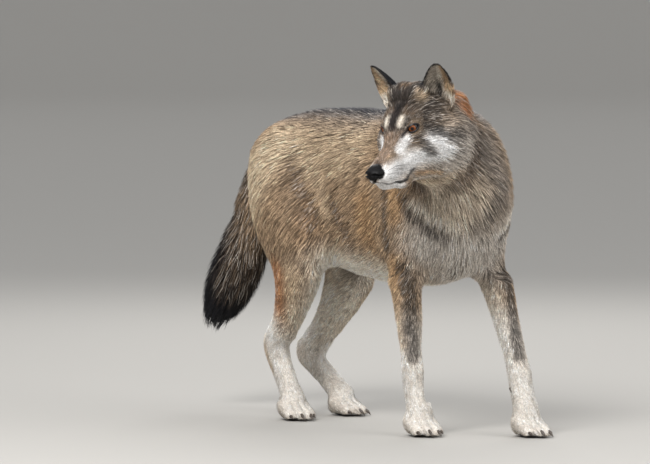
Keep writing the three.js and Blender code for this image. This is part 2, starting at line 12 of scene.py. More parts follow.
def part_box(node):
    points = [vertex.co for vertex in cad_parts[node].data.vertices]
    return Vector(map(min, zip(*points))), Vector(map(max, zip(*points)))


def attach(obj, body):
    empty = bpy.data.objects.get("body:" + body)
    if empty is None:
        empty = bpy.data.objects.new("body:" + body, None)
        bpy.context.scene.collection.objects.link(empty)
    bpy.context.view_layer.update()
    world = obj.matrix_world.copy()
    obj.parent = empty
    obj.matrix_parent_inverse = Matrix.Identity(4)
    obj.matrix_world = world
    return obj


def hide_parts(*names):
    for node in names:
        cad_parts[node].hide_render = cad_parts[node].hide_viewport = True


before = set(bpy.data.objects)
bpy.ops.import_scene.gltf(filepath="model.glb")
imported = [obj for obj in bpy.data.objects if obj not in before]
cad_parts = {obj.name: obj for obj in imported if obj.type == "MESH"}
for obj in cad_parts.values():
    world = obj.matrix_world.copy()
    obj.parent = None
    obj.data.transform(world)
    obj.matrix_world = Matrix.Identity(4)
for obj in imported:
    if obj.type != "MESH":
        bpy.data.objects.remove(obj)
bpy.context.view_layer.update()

started = time.time()


def say(words):
    print(f"[{time.time() - started:5.1f} s] {words}")


# Small tools for meshes kept as arrays: points (n, 3) and triangles (m, 3).

def arraysOf(mesh):
    points = np.empty(len(mesh.vertices) * 3)
    mesh.vertices.foreach_get("co", points)
    mesh.calc_loop_triangles()
    triangles = np.empty(len(mesh.loop_triangles) * 3, int)
    mesh.loop_triangles.foreach_get("vertices", triangles)
    return points.reshape(-1, 3), triangles.reshape(-1, 3)


def meshFrom(name, points, triangles):
    mesh = bpy.data.meshes.new(name)
    mesh.vertices.add(len(points))
    mesh.vertices.foreach_set("co", points.astype(np.float32).ravel())
    mesh.loops.add(triangles.size)
    mesh.loops.foreach_set("vertex_index", triangles.astype(np.int32).ravel())
    mesh.polygons.add(len(triangles))
    mesh.polygons.foreach_set("loop_start", np.arange(0, triangles.size, 3, dtype=np.int32))
    mesh.update(calc_edges=True)
    mesh.shade_smooth()
    return mesh


def pieceFrom(name, mesh):
    piece = bpy.data.objects.new(name, mesh)
    bpy.context.scene.collection.objects.link(piece)
    return piece


def unit(vectors):
    return vectors / np.maximum(np.linalg.norm(vectors, axis=-1, keepdims=True), 1e-12)


def normalsOf(points, triangles):
    a, b, c = (points[triangles[:, i]] for i in range(3))
    across = np.cross(b - a, c - a)
    total = np.zeros_like(points)
    for corner in range(3):
        for axis in range(3):
            total[:, axis] += np.bincount(triangles[:, corner], across[:, axis], len(points))
    return unit(total)


def edgesOf(triangles):
    pairs = np.concatenate([triangles[:, [0, 1]], triangles[:, [1, 2]], triangles[:, [2, 0]]])
    return np.unique(np.sort(pairs, axis=1), axis=0)


def relaxed(values, edges, rounds, pull=.5):
    # every value drifts towards the mean of its neighbours along the mesh's edges
    values = np.array(values, float)
    flat = values.reshape(len(values), -1)
    neighbours = np.maximum(np.bincount(edges.ravel(), minlength=len(flat)), 1)
    for _ in range(rounds):
        for column in range(flat.shape[1]):
            total = np.bincount(edges[:, 0], flat[edges[:, 1], column], len(flat))
            total += np.bincount(edges[:, 1], flat[edges[:, 0], column], len(flat))
            flat[:, column] += pull * (total / neighbours - flat[:, column])
    return flat.reshape(values.shape)


def treeOf(points, triangles):
    return BVHTree.FromPolygons(points.tolist(), triangles.tolist())


def nearestOn(tree, points, what):
    # for each point the nearest place (0) on a mesh, its normal (1), its triangle (2) or its distance (3)
    return np.array([tree.find_nearest(point)[what] for point in points.tolist()])


def inRows(a, b, c, d):
    # two triangles for each row of four corners
    return np.concatenate([np.stack([a, b, c], -1).reshape(-1, 3), np.stack([a, c, d], -1).reshape(-1, 3)])


def flattened(vectors, normals):
    # without their share along the normals
    return vectors - np.sum(vectors * normals, axis=1, keepdims=True) * normals


def cellKeys(cells):
    # one whole number for each cell of a grid
    return np.floor(cells).astype(np.int64) @ np.array([1, 4099, 16785407, 68719476736][:cells.shape[1]])


def withModifiers(piece):
    # the piece's mesh with all its modifiers applied, as a plain mesh
    shown = piece.evaluated_get(bpy.context.evaluated_depsgraph_get())
    mesh = bpy.data.meshes.new_from_object(shown)
    piece.modifiers.clear()
    return mesh


# Small tools for colours and materials.

def srgb(hexColour):
    channels = [int(hexColour[i:i + 2], 16) / 255 for i in (1, 3, 5)]
    return [c / 12.92 if c <= .04045 else ((c + .055) / 1.055) ** 2.4 for c in channels]


def addColours(mesh, name, colours):
    layer = mesh.color_attributes.new(name, "FLOAT_COLOR", "POINT")
    opaque = np.column_stack([colours, np.ones(len(colours))])
    layer.data.foreach_set("color", opaque.astype(np.float32).ravel())


def addNode(tree, kind, settings=None, links=None):
    # adds a node, sets its properties or input values, and links inputs from (node, output) pairs
    node = tree.nodes.new(kind)
    for key, value in (settings or {}).items():
        if key in node.inputs:
            node.inputs[key].default_value = value
        else:
            setattr(node, key, value)
    for key, (source, output) in (links or {}).items():
        tree.links.new(source.outputs[output], node.inputs[key])
    return node


def newMaterial(name):
    material = bpy.data.materials.new(name)
    material.use_nodes = True
    material.node_tree.nodes.clear()
    return material, material.node_tree


# Places are given in millimetres in two frames: the body's, with its origin on the floor under the
# chest's rear end and y to the animal's left, and the head's, with x out along the muzzle, y to the left,
# z up and its origin between the eyes. A place on a leg is a share of a node's box.

head = {
    "yaw": -72,  # degrees from straight ahead, towards the animal's right
    "nod": 17,  # nose down
    "roll": 2,
    "eye": (-11, 35, 3),  # centre of the left eyeball
    "eyeRadius": 13,
}


def centreOf(node):
    low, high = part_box(node)
    return (low + high) / 2


def headFrame():
    yaw, nod, roll = (math.radians(head[k]) for k in ("yaw", "nod", "roll"))
    turn = Matrix.Rotation(yaw, 3, "Z") @ Matrix.Rotation(nod, 3, "Y") @ Matrix.Rotation(roll, 3, "X")
    betweenEyes = (centreOf("eye_left") + centreOf("eye_right")) / 2
    forward, _, rise = head["eye"]
    origin = betweenEyes - turn @ Vector((forward, 0, rise)) / 1000
    return np.array(turn), np.array(origin)


headTurn, headOrigin = headFrame()
bodyOrigin = np.array((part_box("chest")[0].x, centreOf("chest").y, 0))
nodeBoxes = {name: tuple(map(np.array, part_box(name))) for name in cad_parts}


def inHead(points):
    return (points - headOrigin) @ headTurn * 1000


def fromHead(points):
    return np.asarray(points, float) / 1000 @ headTurn.T + headOrigin


def spot(place):
    kind, *numbers = place
    if kind == "body":
        return bodyOrigin + np.array(numbers) / 1000
    if kind == "face":
        return fromHead(numbers)
    low, high = nodeBoxes[kind]
    return low + np.array(numbers) * (high - low)


def onBody(*places):
    return [("body", *place) for place in places]


def onFace(*places):
    return [("face", *place) for place in places]


def onNode(node, *shares):
    return [(node, *share) for share in shares]


def mirroredPlace(place):
    kind, x, y, z = place
    if kind in ("body", "face"):
        return kind, x, -y, z
    other = kind.replace("right", "LEFT").replace("left", "right").replace("LEFT", "left")
    return other, x, 1 - y, z


def routesOf(entry):
    # the entry's path as world points, and its mirror image where it is on both sides
    paths = [entry["path"]]
    if entry.get("both"):
        paths.append([mirroredPlace(place) for place in entry["path"]])
    return [np.array([spot(place) for place in path]) for path in paths]


def besideRoute(points, route):
    # how far each point is from a route, and the route's direction beside it
    if len(route) == 1:
        return np.linalg.norm(points - route[0], axis=1), np.zeros_like(points)
    least = np.full(len(points), np.inf)
    heading = np.zeros_like(points)
    for start, end in zip(route[:-1], route[1:]):
        leg = end - start
        share = np.clip((points - start) @ leg / (leg @ leg), 0, 1)
        gap = np.linalg.norm(points - start - share[:, None] * leg, axis=1)
        closer = gap < least
        least[closer] = gap[closer]
        heading[closer] = unit(leg)
    return least, heading


def gapTo(points, route):
    return besideRoute(points, route)[0] * 1000


def denser(route, count):
    # count places spread along the route
    share = np.linspace(0, len(route) - 1, count)
    return np.stack([np.interp(share, np.arange(len(route)), route[:, i]) for i in range(3)], -1)


def fade(values, low, high):
    # 0 below low, 1 above high, smooth between
    t = np.clip((values - low) / (high - low), 0, 1)
    return t * t * (3 - 2 * t)


# The flesh: every CAD node of the body, joined into one closed shell out to the tips of the coat.

flesh = {
    "swell": .0011,  # pushes neighbours into each other, so that the cuts between them close
    "voxel": .004,
    "evenOut": 5,  # rounds of smoothing
    "faceEven": 8,
    "faceAt": (20, 0, -30),  # in the head's frame
    "faceReach": (90, 120),
}
hardParts = ("claw", "eye", "nose")
fleshNodes = sorted(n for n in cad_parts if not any(word in n for word in hardParts))

# lumps of clay on the head: place, radii and turn about the upright, in the head's frame
headLumps = [
    {"at": (77, 16, -69), "radii": (29, 16, 26)},  # whisker pads
    {"at": (76, 9, -52), "radii": (30, 15, 13)},  # sides of the bridge
    {"at": (66, 7, -98), "radii": (26, 13, 12)},  # lower jaw
    {"at": (30, 14, -104), "radii": (32, 20, 16)},
    {"at": (-70, 20, 60), "radii": (42, 34, 28)},  # crown
    {"at": (97, 7, -76), "radii": (15, 12, 10)},  # front of the upper lip
    {"at": (88, 0, -60), "radii": (20, 20, 17)},  # end of the bridge
    {"at": (-6, 27, 19), "radii": (17, 13, 8)},  # brow
    {"at": (-100, 54, 14), "radii": (30, 25, 32)},  # root of the ear
    {"at": (-118, 52, 24), "radii": (24, 24, 28)},  # behind the ear, towards the neck
    {"at": (-144, 52, 18), "radii": (50, 28, 25)},
    {"at": (-11, 35, 3), "radii": (15, 15, 15)},  # fills the socket
]


def ellipsoidArrays(at, radii):
    ball = bmesh.new()
    bmesh.ops.create_icosphere(ball, subdivisions=3, radius=1)
    mesh = bpy.data.meshes.new("ball")
    ball.to_mesh(mesh)
    ball.free()
    points, triangles = arraysOf(mesh)
    bpy.data.meshes.remove(mesh)
    return points * np.array(radii) + np.array(at), triangles


def pairedLumps(lumps):
    # the lumps and their mirror images, in the world
    shells = []
    for lump in lumps:
        x, y, z = lump["at"]
        for side in ((y, -y) if y else (0,)):
            points, triangles = ellipsoidArrays((x, side, z), lump["radii"])
            shells.append((fromHead(points), triangles))
    return shells


def gathered(shells):
    points, triangles, count = [], [], 0
    for corners, faces in shells:
        points.append(corners)
        triangles.append(faces + count)
        count += len(corners)
    return np.concatenate(points), np.concatenate(triangles)


def nodeShell(name, swell):
    # a merged copy of a node, swollen a little
    copy = bmesh.new()
    copy.from_mesh(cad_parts[name].data)
    bmesh.ops.remove_doubles(copy, verts=copy.verts, dist=1e-5)
    mesh = bpy.data.meshes.new("copy")
    copy.to_mesh(mesh)
    copy.free()
    points, triangles = arraysOf(mesh)
    bpy.data.meshes.remove(mesh)
    return points + swell * normalsOf(points, triangles), triangles


def remeshed(points, triangles, voxel):
    piece = pieceFrom("shell", meshFrom("shell", points, triangles))
    remesh = piece.modifiers.new("remesh", "REMESH")
    remesh.mode = "VOXEL"
    remesh.voxel_size = voxel
    mesh = withModifiers(piece)
    bpy.data.objects.remove(piece)
    return arraysOf(mesh)


def evened(points, triangles, rounds):
    # smooths without shrinking: a pull inwards, then a slightly larger push out
    edges = edgesOf(triangles)
    for _ in range(rounds):
        for pull in (.5, -.52):
            points = relaxed(points, edges, 1, pull)
    return points


def outerShell():
    shells = [nodeShell(name, flesh["swell"]) for name in fleshNodes if not name.startswith("ear")]
    points, triangles = remeshed(*gathered(shells + pairedLumps(headLumps)), flesh["voxel"])
    points = evened(points, triangles, flesh["evenOut"])
    face = 1 - fade(np.linalg.norm(inHead(points) - flesh["faceAt"], axis=1), *flesh["faceReach"])[:, None]
    return points + face * (relaxed(points, edgesOf(triangles), flesh["faceEven"]) - points), triangles


outerPoints, outerTriangles = outerShell()
say(f"flesh {len(outerPoints)} points, {len(outerTriangles)} triangles")

# Who owns each point: the CAD node whose surface is nearest.


def nodeTree():
    shells = [nodeShell(name, 0) for name in fleshNodes]
    owners = np.concatenate([np.full(len(t), i) for i, (_, t) in enumerate(shells)])
    return treeOf(*gathered(shells)), owners


ownerTree, ownerOf = nodeTree()


def ownersOf(points):
    return ownerOf[nearestOn(ownerTree, points, 2)]


# The coat: for each node, in millimetres, how deep it is from skin to tips, how long and how wide a tuft
# is, and how far apart roots stand; in degrees, how much the lie wanders; and how far tips gather in locks.

coat = {
    # depth, length, width, apart, wander, gather
    "chest": (17, 36, 1.75, 3.16, 13, .32),
    "loin": (15, 34, 1.75, 3.1, 13, .3),
    "neck": (27, 52, 2.0, 3.2, 14, .42),
    "head": (7, 18, 1.4, 2.1, 11, .25),
    "lower_jaw": (3, 9, 1.1, 1.7, 10, .2),
    "ear": (2.4, 9, 1.1, 1.6, 9, .1),
    "tail_root": (20, 46, 2.1, 3.3, 12, .3),
    "tail_brush": (30, 60, 2.4, 3.6, 15, .4),
    "tail_tip": (28, 64, 2.4, 3.5, 15, .4),
    "shoulder": (12, 30, 1.8, 2.9, 12, .3),
    "forearm": (5, 15, 1.4, 2.1, 9, .15),
    "pastern": (3, 10, 1.2, 1.9, 8, .1),
    "paw": (2.6, 8, 1.1, 1.7, 8, .1),
    "thigh": (14, 33, 1.75, 3.1, 13, .3),
    "shank": (7, 18, 1.5, 2.3, 10, .2),
    "hock": (3.5, 11, 1.2, 1.9, 8, .1),
}
fullReach = .45  # share of a place's reach with the full change

# places where the coat differs from its node's, in the same columns
coatPlaces = [
    dict(reach=62, hold=1, path=onFace((110, 0, -60), (40, 0, -55)),
         to=(2.1, 7, 1.0, 1.5, 9, .1)),
    dict(both=True, reach=42, hold=.9, path=onFace((5, 0, 10), (-20, 30, 10)),
         to=(2.8, 8, 1.0, 1.6, 9, .1)),
    dict(both=True, reach=28, hold=1, path=onFace((-11, 35, 3)),
         to=(1.7, 5, .8, 1.2, 8, .05)),
    dict(reach=40, hold=.8, path=onFace((-40, 0, 55), (-80, 0, 78)),
         to=(4.5, 13, 1.4, 2.1, 9, .15)),
    dict(both=True, reach=60, hold=.9, path=onFace((-92, 78, -30), (-92, 70, -80)),
         to=(24, 46, 2.2, 3.1, 14, .45)),
    dict(both=True, reach=56, hold=.9, path=onFace((-120, 58, 50), (-160, 64, 30), (-190, 66, 10)),
         to=(13, 34, 1.9, 2.8, 11, .3)),
    dict(both=True, reach=70, hold=.7, path=onBody((-390, -60, 500), (-340, -80, 420)),
         to=(20, 48, 2.3, 3.4, 12, .35)),
]


def coatOf(node):
    return next(row for kind, row in coat.items() if node.endswith(kind) or node.startswith(kind))


def coatAt(points, edges, rounds):
    rows = np.array([coatOf(node) for node in fleshNodes], float)
    values = relaxed(rows[ownersOf(points)], edges, rounds)
    for entry in coatPlaces:
        aim = np.array(entry["to"], float)
        for route in routesOf(entry):
            gap = gapTo(points, route)
            weight = entry["hold"] * (1 - fade(gap, entry["reach"] * fullReach, entry["reach"]))[:, None]
            values += weight * (aim - values)
    return values


# The skin: the outer shell let in by the coat's depth, step by step so that folds stay open.

skinMaking = {
    "steps": 10,
    "settle": 2,
    "spread": 40,
    "calm": 12,
    "firm": (3, 14),  # coat depths, in millimetres, between which the settling sets in
}


def letIn(points, triangles):
    edges = edgesOf(triangles)
    depth = coatAt(points, edges, skinMaking["spread"])[:, :1] / 1000
    loose = fade(depth * 1000, *skinMaking["firm"])
    for _ in range(skinMaking["steps"]):
        inwards = -unit(relaxed(normalsOf(points, triangles), edges, skinMaking["calm"]))
        points = points + depth / skinMaking["steps"] * inwards
        points = points + loose * (relaxed(points, edges, skinMaking["settle"]) - points)
    return points


tailEnd = {
    "along": onBody((-474, -64, 340), (-530, -95, 180)),
    "bare": 34,  # how far the skin ends before the tips, in millimetres
    "squeeze": .12,  # what is left of the length beyond
}


def shortened(points):
    # keeps the skin back from the tail's end, so that free hair makes the end
    start, end = (spot(place) for place in tailEnd["along"])
    ahead = points @ unit(end - start)
    low, high = spot(("tail_tip", 0, 0, 0)), spot(("tail_tip", 1, 1, 1))
    tail = np.all((points > low) & (points < high), axis=1)
    over = np.where(tail, ahead - (ahead[tail].max() - tailEnd["bare"] / 1000), 0)
    return points - (np.maximum(over, 0) * (1 - tailEnd["squeeze"]))[:, None] * unit(end - start)


skinPoints, skinTriangles = shortened(letIn(outerPoints, outerTriangles)), outerTriangles
say("skin let in")

# The skin thinned where the coat hides it, so that its triangles go where they show.

thinning = {
    "ratio": .3,
    "between": (4, 12),  # coat depths, in millimetres, between which the thinning sets in
    "levels": 10,
}


def thinned(points, triangles):
    piece = pieceFrom("thin", meshFrom("thin", points, triangles))
    depth = coatAt(points, edgesOf(triangles), skinMaking["spread"])[:, 0]
    group = piece.vertex_groups.new(name="hidden")
    levels = np.round(thinning["levels"] * fade(depth, *thinning["between"]))
    for level in range(1, thinning["levels"] + 1):
        group.add(np.nonzero(levels == level)[0].tolist(), level / thinning["levels"], "REPLACE")
    decimate = piece.modifiers.new("thin", "DECIMATE")
    decimate.ratio = thinning["ratio"]
    decimate.vertex_group = "hidden"
    mesh = withModifiers(piece)
    bpy.data.objects.remove(piece)
    return arraysOf(mesh)


skinPoints, skinTriangles = thinned(skinPoints, skinTriangles)
say(f"skin thinned to {len(skinTriangles)} triangles")

# The face: finer triangles first, then strokes of the modelling tool, then lids, lips and ears.

faceRegions = [  # path, and the reach in millimetres inside which every edge is halved
    dict(reach=62, path=onFace((110, 0, -70), (-20, 0, -20))),
    dict(both=True, reach=24, path=onFace((-8, 40, 0))),
    dict(both=True, reach=9, path=onFace((108, 6, -87), (80, 22, -98), (22, 40, -91))),
]


def within(points, region):
    return np.any([gapTo(points, route) < region["reach"] for route in routesOf(region)], axis=0)


def refined(points, triangles, region):
    near = within(points, region)
    shape = bmesh.new()
    shape.from_mesh(meshFrom("face", points, triangles))
    shape.verts.ensure_lookup_table()
    edges = [e for e in shape.edges if near[e.verts[0].index] and near[e.verts[1].index]]
    bmesh.ops.subdivide_edges(shape, edges=edges, cuts=1, use_grid_fill=True)
    bmesh.ops.triangulate(shape, faces=shape.faces)
    mesh = bpy.data.meshes.new("face")
    shape.to_mesh(mesh)
    shape.free()
    points, triangles = arraysOf(mesh)
    bpy.data.meshes.remove(mesh)
    near = within(points, region)
    even = evened(points, triangles, 2)
    points[near] = even[near]
    return points, triangles


lipLine =onFace((111, 3, -85), (101, 13, -91), (80, 22, -98), (58, 30, -101), (38, 36, -99),
          (22, 41, -92), (14, 44, -84))
# push: how far the surface moves along its normal, out if positive, in millimetres
faceStrokes = [
    dict(reach=8, push=3, path=onFace((6, 16, 12), (-10, 32, 20), (-28, 46, 15))),
    dict(reach=9, push=-2, path=onFace((16, 20, -20), (44, 19, -26))),
    dict(reach=12, push=2.5, path=onFace((0, 40, -24), (-40, 58, -16))),
    dict(reach=8, push=-2, path=onFace((16, 0, 6), (-60, 0, 70))),
    dict(reach=18, push=-4, path=onFace((100, 0, -40), (74, 0, -34))),
    dict(reach=4, push=-1.5, path=onFace((3, 19, -6), (16, 14, -17))),
]
lipStrokes = [
    {"lift": 6, "reach": 5, "push": 1.6},
    {"lift": -6, "reach": 5, "push": .8},
    {"lift": 0, "reach": 2.1, "push": -3.2},
]


def placed(point):
    return ("face", *inHead(np.array(point)))


def settled(path, lift, tree):
    # the path raised by lift millimetres and laid on the skin
    route = np.array([spot(place) for place in path]) + (0, 0, lift / 1000)
    return [placed(point) for point in nearestOn(tree, denser(route, 8 * len(route)), 0)]


def modelled(points, triangles, strokes):
    for stroke in strokes:
        normals = normalsOf(points, triangles)
        for route in routesOf({"both": True, **stroke}):
            dent = stroke["push"] / 1000 * np.exp(-(gapTo(points, route) / stroke["reach"]) ** 2)
            points = points + normals * dent[:, None]
    return points


# Eyes: the skin hugs the ball, an almond is cut through it, and a thin margin runs round the cut.

lids = {
    "outwards": 40,  # degrees between straight ahead and the opening
    "rise": 4,
    "slant": 17,  # the outer corner's rise, in degrees
    "skin": 15.3,  # from the ball's centre to the skin of the lids
    "hug": (72, 118),  # degrees from the opening's middle over which the hugging fades
    "hugReach": (20, 34),  # and millimetres from the ball's centre
    "hugFrom": 4,
    "halfLength": 13.4,
    "upper": 7.6,
    "lower": 6.6,
    "inner": 2.2,  # extra length of the inner corner
    "innerFrom": .55,
    "point": 1.35,  # how pointed the corners are
    "cut": (2.5, 34),  # how far the cut reaches in behind the ball's surface, and out
    "margin": 1.0,  # radius of the lid's margin
    "marginAt": 14.2,  # its distance from the ball's centre
    "leastRise": 4,
}


def eyeAxes(side):
    # centre of the ball, and the opening's directions out, towards the outer corner, and up
    turn, rise, slant = (math.radians(lids[k]) for k in ("outwards", "rise", "slant"))
    out = np.array((math.cos(turn) * math.cos(rise), math.sin(turn) * math.cos(rise), math.sin(rise)))
    level = np.array((-math.sin(turn), math.cos(turn), 0))
    above = np.cross(out, level)
    along = math.cos(slant) * level + math.sin(slant) * above
    above = np.cross(out, along)
    flip = np.array((1, side, 1))
    centre = np.array(head["eye"]) * flip
    return centre, out * flip, along * flip, above * flip


def almond(count=64):
    t = np.arange(count) * 2 * math.pi / count
    along = lids["halfLength"] * np.cos(t)
    along -= lids["inner"] * fade(-np.cos(t), lids["innerFrom"], 1)
    height = np.where(np.sin(t) > 0, lids["upper"], lids["lower"])
    above = height * np.sign(np.sin(t)) * np.abs(np.sin(t)) ** lids["point"]
    return along, above


def tubeShell(centres, radius, sides=8):
    # a closed ring of tube round a closed line of points
    count = len(centres)
    ahead = unit(np.roll(centres, -1, 0) - np.roll(centres, 1, 0))
    middle = centres.mean(0)
    outward = unit(centres - middle - np.sum((centres - middle) * ahead, 1, keepdims=True) * ahead)
    upward = np.cross(ahead, outward)
    angles = np.arange(sides) * 2 * math.pi / sides
    rings = (centres[:, None] + radius * (np.cos(angles)[None, :, None] * outward[:, None]
                                          + np.sin(angles)[None, :, None] * upward[:, None]))
    i, k = np.meshgrid(np.arange(count), np.arange(sides), indexing="ij")
    a, b = i * sides + k, i * sides + (k + 1) % sides
    c, d = (i + 1) % count * sides + (k + 1) % sides, (i + 1) % count * sides + k
    return rings.reshape(-1, 3), inRows(a, d, c, b)


def prismShell(low, high):
    # a closed prism between two outlines of the same number of points
    count = len(low)
    points = np.concatenate([low, high, [low.mean(0)], [high.mean(0)]])
    i = np.arange(count)
    j = (i + 1) % count
    bottom, top = np.full(count, 2 * count), np.full(count, 2 * count + 1)
    caps = [np.stack([j, i, bottom], -1), np.stack([i + count, j + count, top], -1)]
    return points, np.concatenate([inRows(i, j, j + count, i + count), *caps])


def facingOut(points, triangles):
    # turns a closed shell's faces outwards if they point in
    a, b, c = (points[triangles[:, i]] for i in range(3))
    volume = np.sum(a * np.cross(b, c))
    return (points, triangles) if volume > 0 else (points, triangles[:, ::-1])


def hugged(points, side):
    # draws the skin near an eye onto a shell round the ball
    centre, out, _, _ = eyeAxes(side)
    local = inHead(points) - centre
    distance = np.linalg.norm(local, axis=1)
    direction = unit(local)
    angle = np.degrees(np.arccos(np.clip(direction @ out, -1, 1)))
    weight = (1 - fade(angle, *lids["hug"])) * (1 - fade(distance, *lids["hugReach"]))
    weight = weight * (distance > lids["hugFrom"])
    target = direction * lids["skin"]
    moved = local + weight[:, None] * (target - local)
    return fromHead(moved + centre)


def cutterShell(side):
    centre, out, along, above = eyeAxes(side)
    a, b = almond()
    outline = centre + a[:, None] * along + b[:, None] * above
    inwards, outwards = lids["cut"]
    floor = np.sqrt(np.maximum(head["eyeRadius"] ** 2 - a ** 2 - b ** 2, 0)) - inwards
    low = outline + np.maximum(floor, 1)[:, None] * out
    return facingOut(*prismShell(fromHead(low), fromHead(outline + outwards * out)))


def lidLine(side):
    # the middle of the lids' margin, round the opening
    centre, out, along, above = eyeAxes(side)
    a, b = almond()
    rise = np.sqrt(np.maximum(lids["marginAt"] ** 2 - a ** 2 - b ** 2, lids["leastRise"] ** 2))
    return fromHead(centre + a[:, None] * along + b[:, None] * above + rise[:, None] * out)


def marginShell(side):
    return facingOut(*tubeShell(lidLine(side), lids["margin"] / 1000))


# Ears: a leaf of skin rolled into a cup, open forwards and a little outwards.

ear = {
    "root": (-78, 60, 26),
    "tip": (-67, 87, 125),
    "halfWidth": 32,
    "outwards": 24,
    "outline": [(-.34, .3), (-.18, .62), (0, .86), (.15, .97), (.32, 1), (.52, .93), (.72, .73), (.86, .5),
                (.95, .28), (1, .08)],
    "roll": (82, 34),  # half the arc of the cup at the root and at the tip, in degrees
    "thick": (5.5, 2.2),  # at the root and at the rim, in millimetres
    "belly": 5,  # how far its middle bows back
    "rows": 42,
    "columns": 24,
    "from": -.3,  # share of its height from which skin counts as the ear's
    "open": .1,  # how far skin in its cup has to face its opening
}


def earAxes(side):
    flip = np.array((1, side, 1))
    root, tip = np.array(ear["root"], float), np.array(ear["tip"], float)
    turn = math.radians(ear["outwards"])
    axis = unit(tip - root)
    opening = np.array((math.cos(turn), math.sin(turn), 0))
    opening = unit(opening - (opening @ axis) * axis)
    lateral = np.cross(opening, axis)
    lateral = lateral * np.sign(lateral[1])
    return root * flip, axis * flip, opening * flip, lateral * flip, np.linalg.norm(tip - root)


def earShell(side):
    root, axis, opening, lateral, height = earAxes(side)
    v = np.linspace(ear["outline"][0][0], 1, ear["rows"])[:, None]
    u = np.linspace(-1, 1, ear["columns"])[None, :]
    outline = np.array(ear["outline"])
    width = ear["halfWidth"] * np.interp(v, outline[:, 0], outline[:, 1])
    bend = np.radians(ear["roll"][0] + (ear["roll"][1] - ear["roll"][0]) * v)
    radius = width / np.sin(bend)
    phi = u * bend
    sideways, depth = radius * np.sin(phi), radius * (np.cos(phi) - np.cos(bend))
    rise = height * v
    inner = (root + rise[..., None] * axis + sideways[..., None] * lateral - depth[..., None] * opening
             - ear["belly"] * np.sin(math.pi * np.maximum(v, 0))[..., None] * opening)
    facing = np.cos(phi)[..., None] * opening - np.sin(phi)[..., None] * lateral
    body = (1 - np.abs(u) ** 3) * (1 - np.maximum(v, 0) ** 3)
    thick = ear["thick"][1] + (ear["thick"][0] - ear["thick"][1]) * body
    outer = inner - thick[..., None] * facing
    rows, columns = ear["rows"], ear["columns"]
    size = rows * columns
    i, k = np.meshgrid(np.arange(rows - 1), np.arange(columns - 1), indexing="ij")
    corner = i * columns + k
    front = inRows(corner, corner + 1, corner + columns + 1, corner + columns)
    back = front[:, ::-1] + size
    border = np.concatenate([np.arange(columns), np.arange(1, rows) * columns + columns - 1,
                             (rows - 1) * columns + np.arange(columns - 2, -1, -1),
                             np.arange(rows - 2, 0, -1) * columns])
    after = np.roll(border, -1)
    rim = inRows(after, border, border + size, after + size)
    points = np.concatenate([inner.reshape(-1, 3), outer.reshape(-1, 3)])
    return facingOut(fromHead(points), np.concatenate([front, back, rim]))


def combined(points, triangles, others, operation):
    # joins closed shells to the skin, or cuts them out of it
    piece = pieceFrom("whole", meshFrom("whole", points, triangles))
    helpers = []
    for corners, faces in others:
        helper = pieceFrom("helper", meshFrom("helper", corners, faces))
        helpers.append(helper)
        boolean = piece.modifiers.new("join", "BOOLEAN")
        boolean.operation = operation
        boolean.solver = "MANIFOLD"
        boolean.object = helper
    mesh = withModifiers(piece)
    for thing in [piece, *helpers]:
        bpy.data.objects.remove(thing)
    return arraysOf(mesh)


# Paws: toes parted by grooves that run back from between the claws, and knuckles raised behind them.

toes = {
    "region": 42,  # reach of the finer triangles round the toes, in millimetres
    "behind": 12,  # their middle, behind the claws' roots
    "groove": {"push": -3.4, "reach": 3.2, "both": False},
    "knuckle": {"push": 1.6, "reach": 6.5, "both": False},
    "grooveAt": [(3, 9), (-8, 27), (-20, 36), (-34, 44)],  # ahead of the claws' roots, and height
    "knuckleAt": [(-8, 26), (-22, 38)],
    "clawEnd": 2,  # how much of a claw counts as its wide end, in millimetres
}


def clawEnds(node):
    # the middle of the cone's wide end, and its point
    points, _ = nodeShell(node, 0)
    middle = points.mean(0)
    point = points[np.argmax(np.linalg.norm(points - middle, axis=1))]
    along = (points - point) @ unit(point - middle)
    return points[along < along.min() + toes["clawEnd"] / 1000].mean(0), point


def pawWork(leg):
    # the region of a paw's toes, and the strokes that part them
    ends = [clawEnds(f"{leg}_claw_{i}") for i in range(1, 5)]
    roots = np.array([root for root, _ in ends])
    ahead = unit((np.array([point for _, point in ends]) - roots).mean(0) * (1, 1, 0))

    def path(root, steps):
        return [placed(root * (1, 1, 0) + (0, 0, high / 1000) + along / 1000 * ahead)
                for along, high in steps]

    region = dict(path=[placed(roots.mean(0) - toes["behind"] / 1000 * ahead)], reach=toes["region"])
    strokes = [dict(path=path((root + other) / 2, toes["grooveAt"]), **toes["groove"])
               for root, other in zip(roots[:-1], roots[1:])]
    strokes += [dict(path=path(root, toes["knuckleAt"]), **toes["knuckle"]) for root in roots]
    return region, strokes


def finishedSkin(points, triangles):
    paws = [pawWork(leg) for leg in ("front_right", "front_left", "hind_right", "hind_left")]
    for region in faceRegions + [region for region, _ in paws]:
        points, triangles = refined(points, triangles, region)
    tree = treeOf(points, triangles)
    pawStrokes = [{**stroke, "path": settled(stroke["path"], 0, tree)}
                  for _, strokes in paws for stroke in strokes]
    points = modelled(points, triangles, pawStrokes)
    points = modelled(points, triangles, faceStrokes)
    tree = treeOf(points, triangles)
    lips = [{"path": settled(lipLine, stroke["lift"], tree), **stroke} for stroke in lipStrokes]
    points = modelled(points, triangles, lips)
    for side in (1, -1):
        points = hugged(points, side)
    for shell, operation in ((earShell, "UNION"), (cutterShell, "DIFFERENCE"), (marginShell, "UNION")):
        points, triangles = combined(points, triangles, [shell(1), shell(-1)], operation)
    return points, triangles


skinPoints, skinTriangles = finishedSkin(skinPoints, skinTriangles)
skinEdges = edgesOf(skinTriangles)
skinNormals = normalsOf(skinPoints, skinTriangles)
skinTree = treeOf(skinPoints, skinTriangles)
say(f"skin {len(skinTriangles)} triangles")

# Nose leather: a pad with wings, cut by two comma-shaped nostrils and a groove down to the lip.

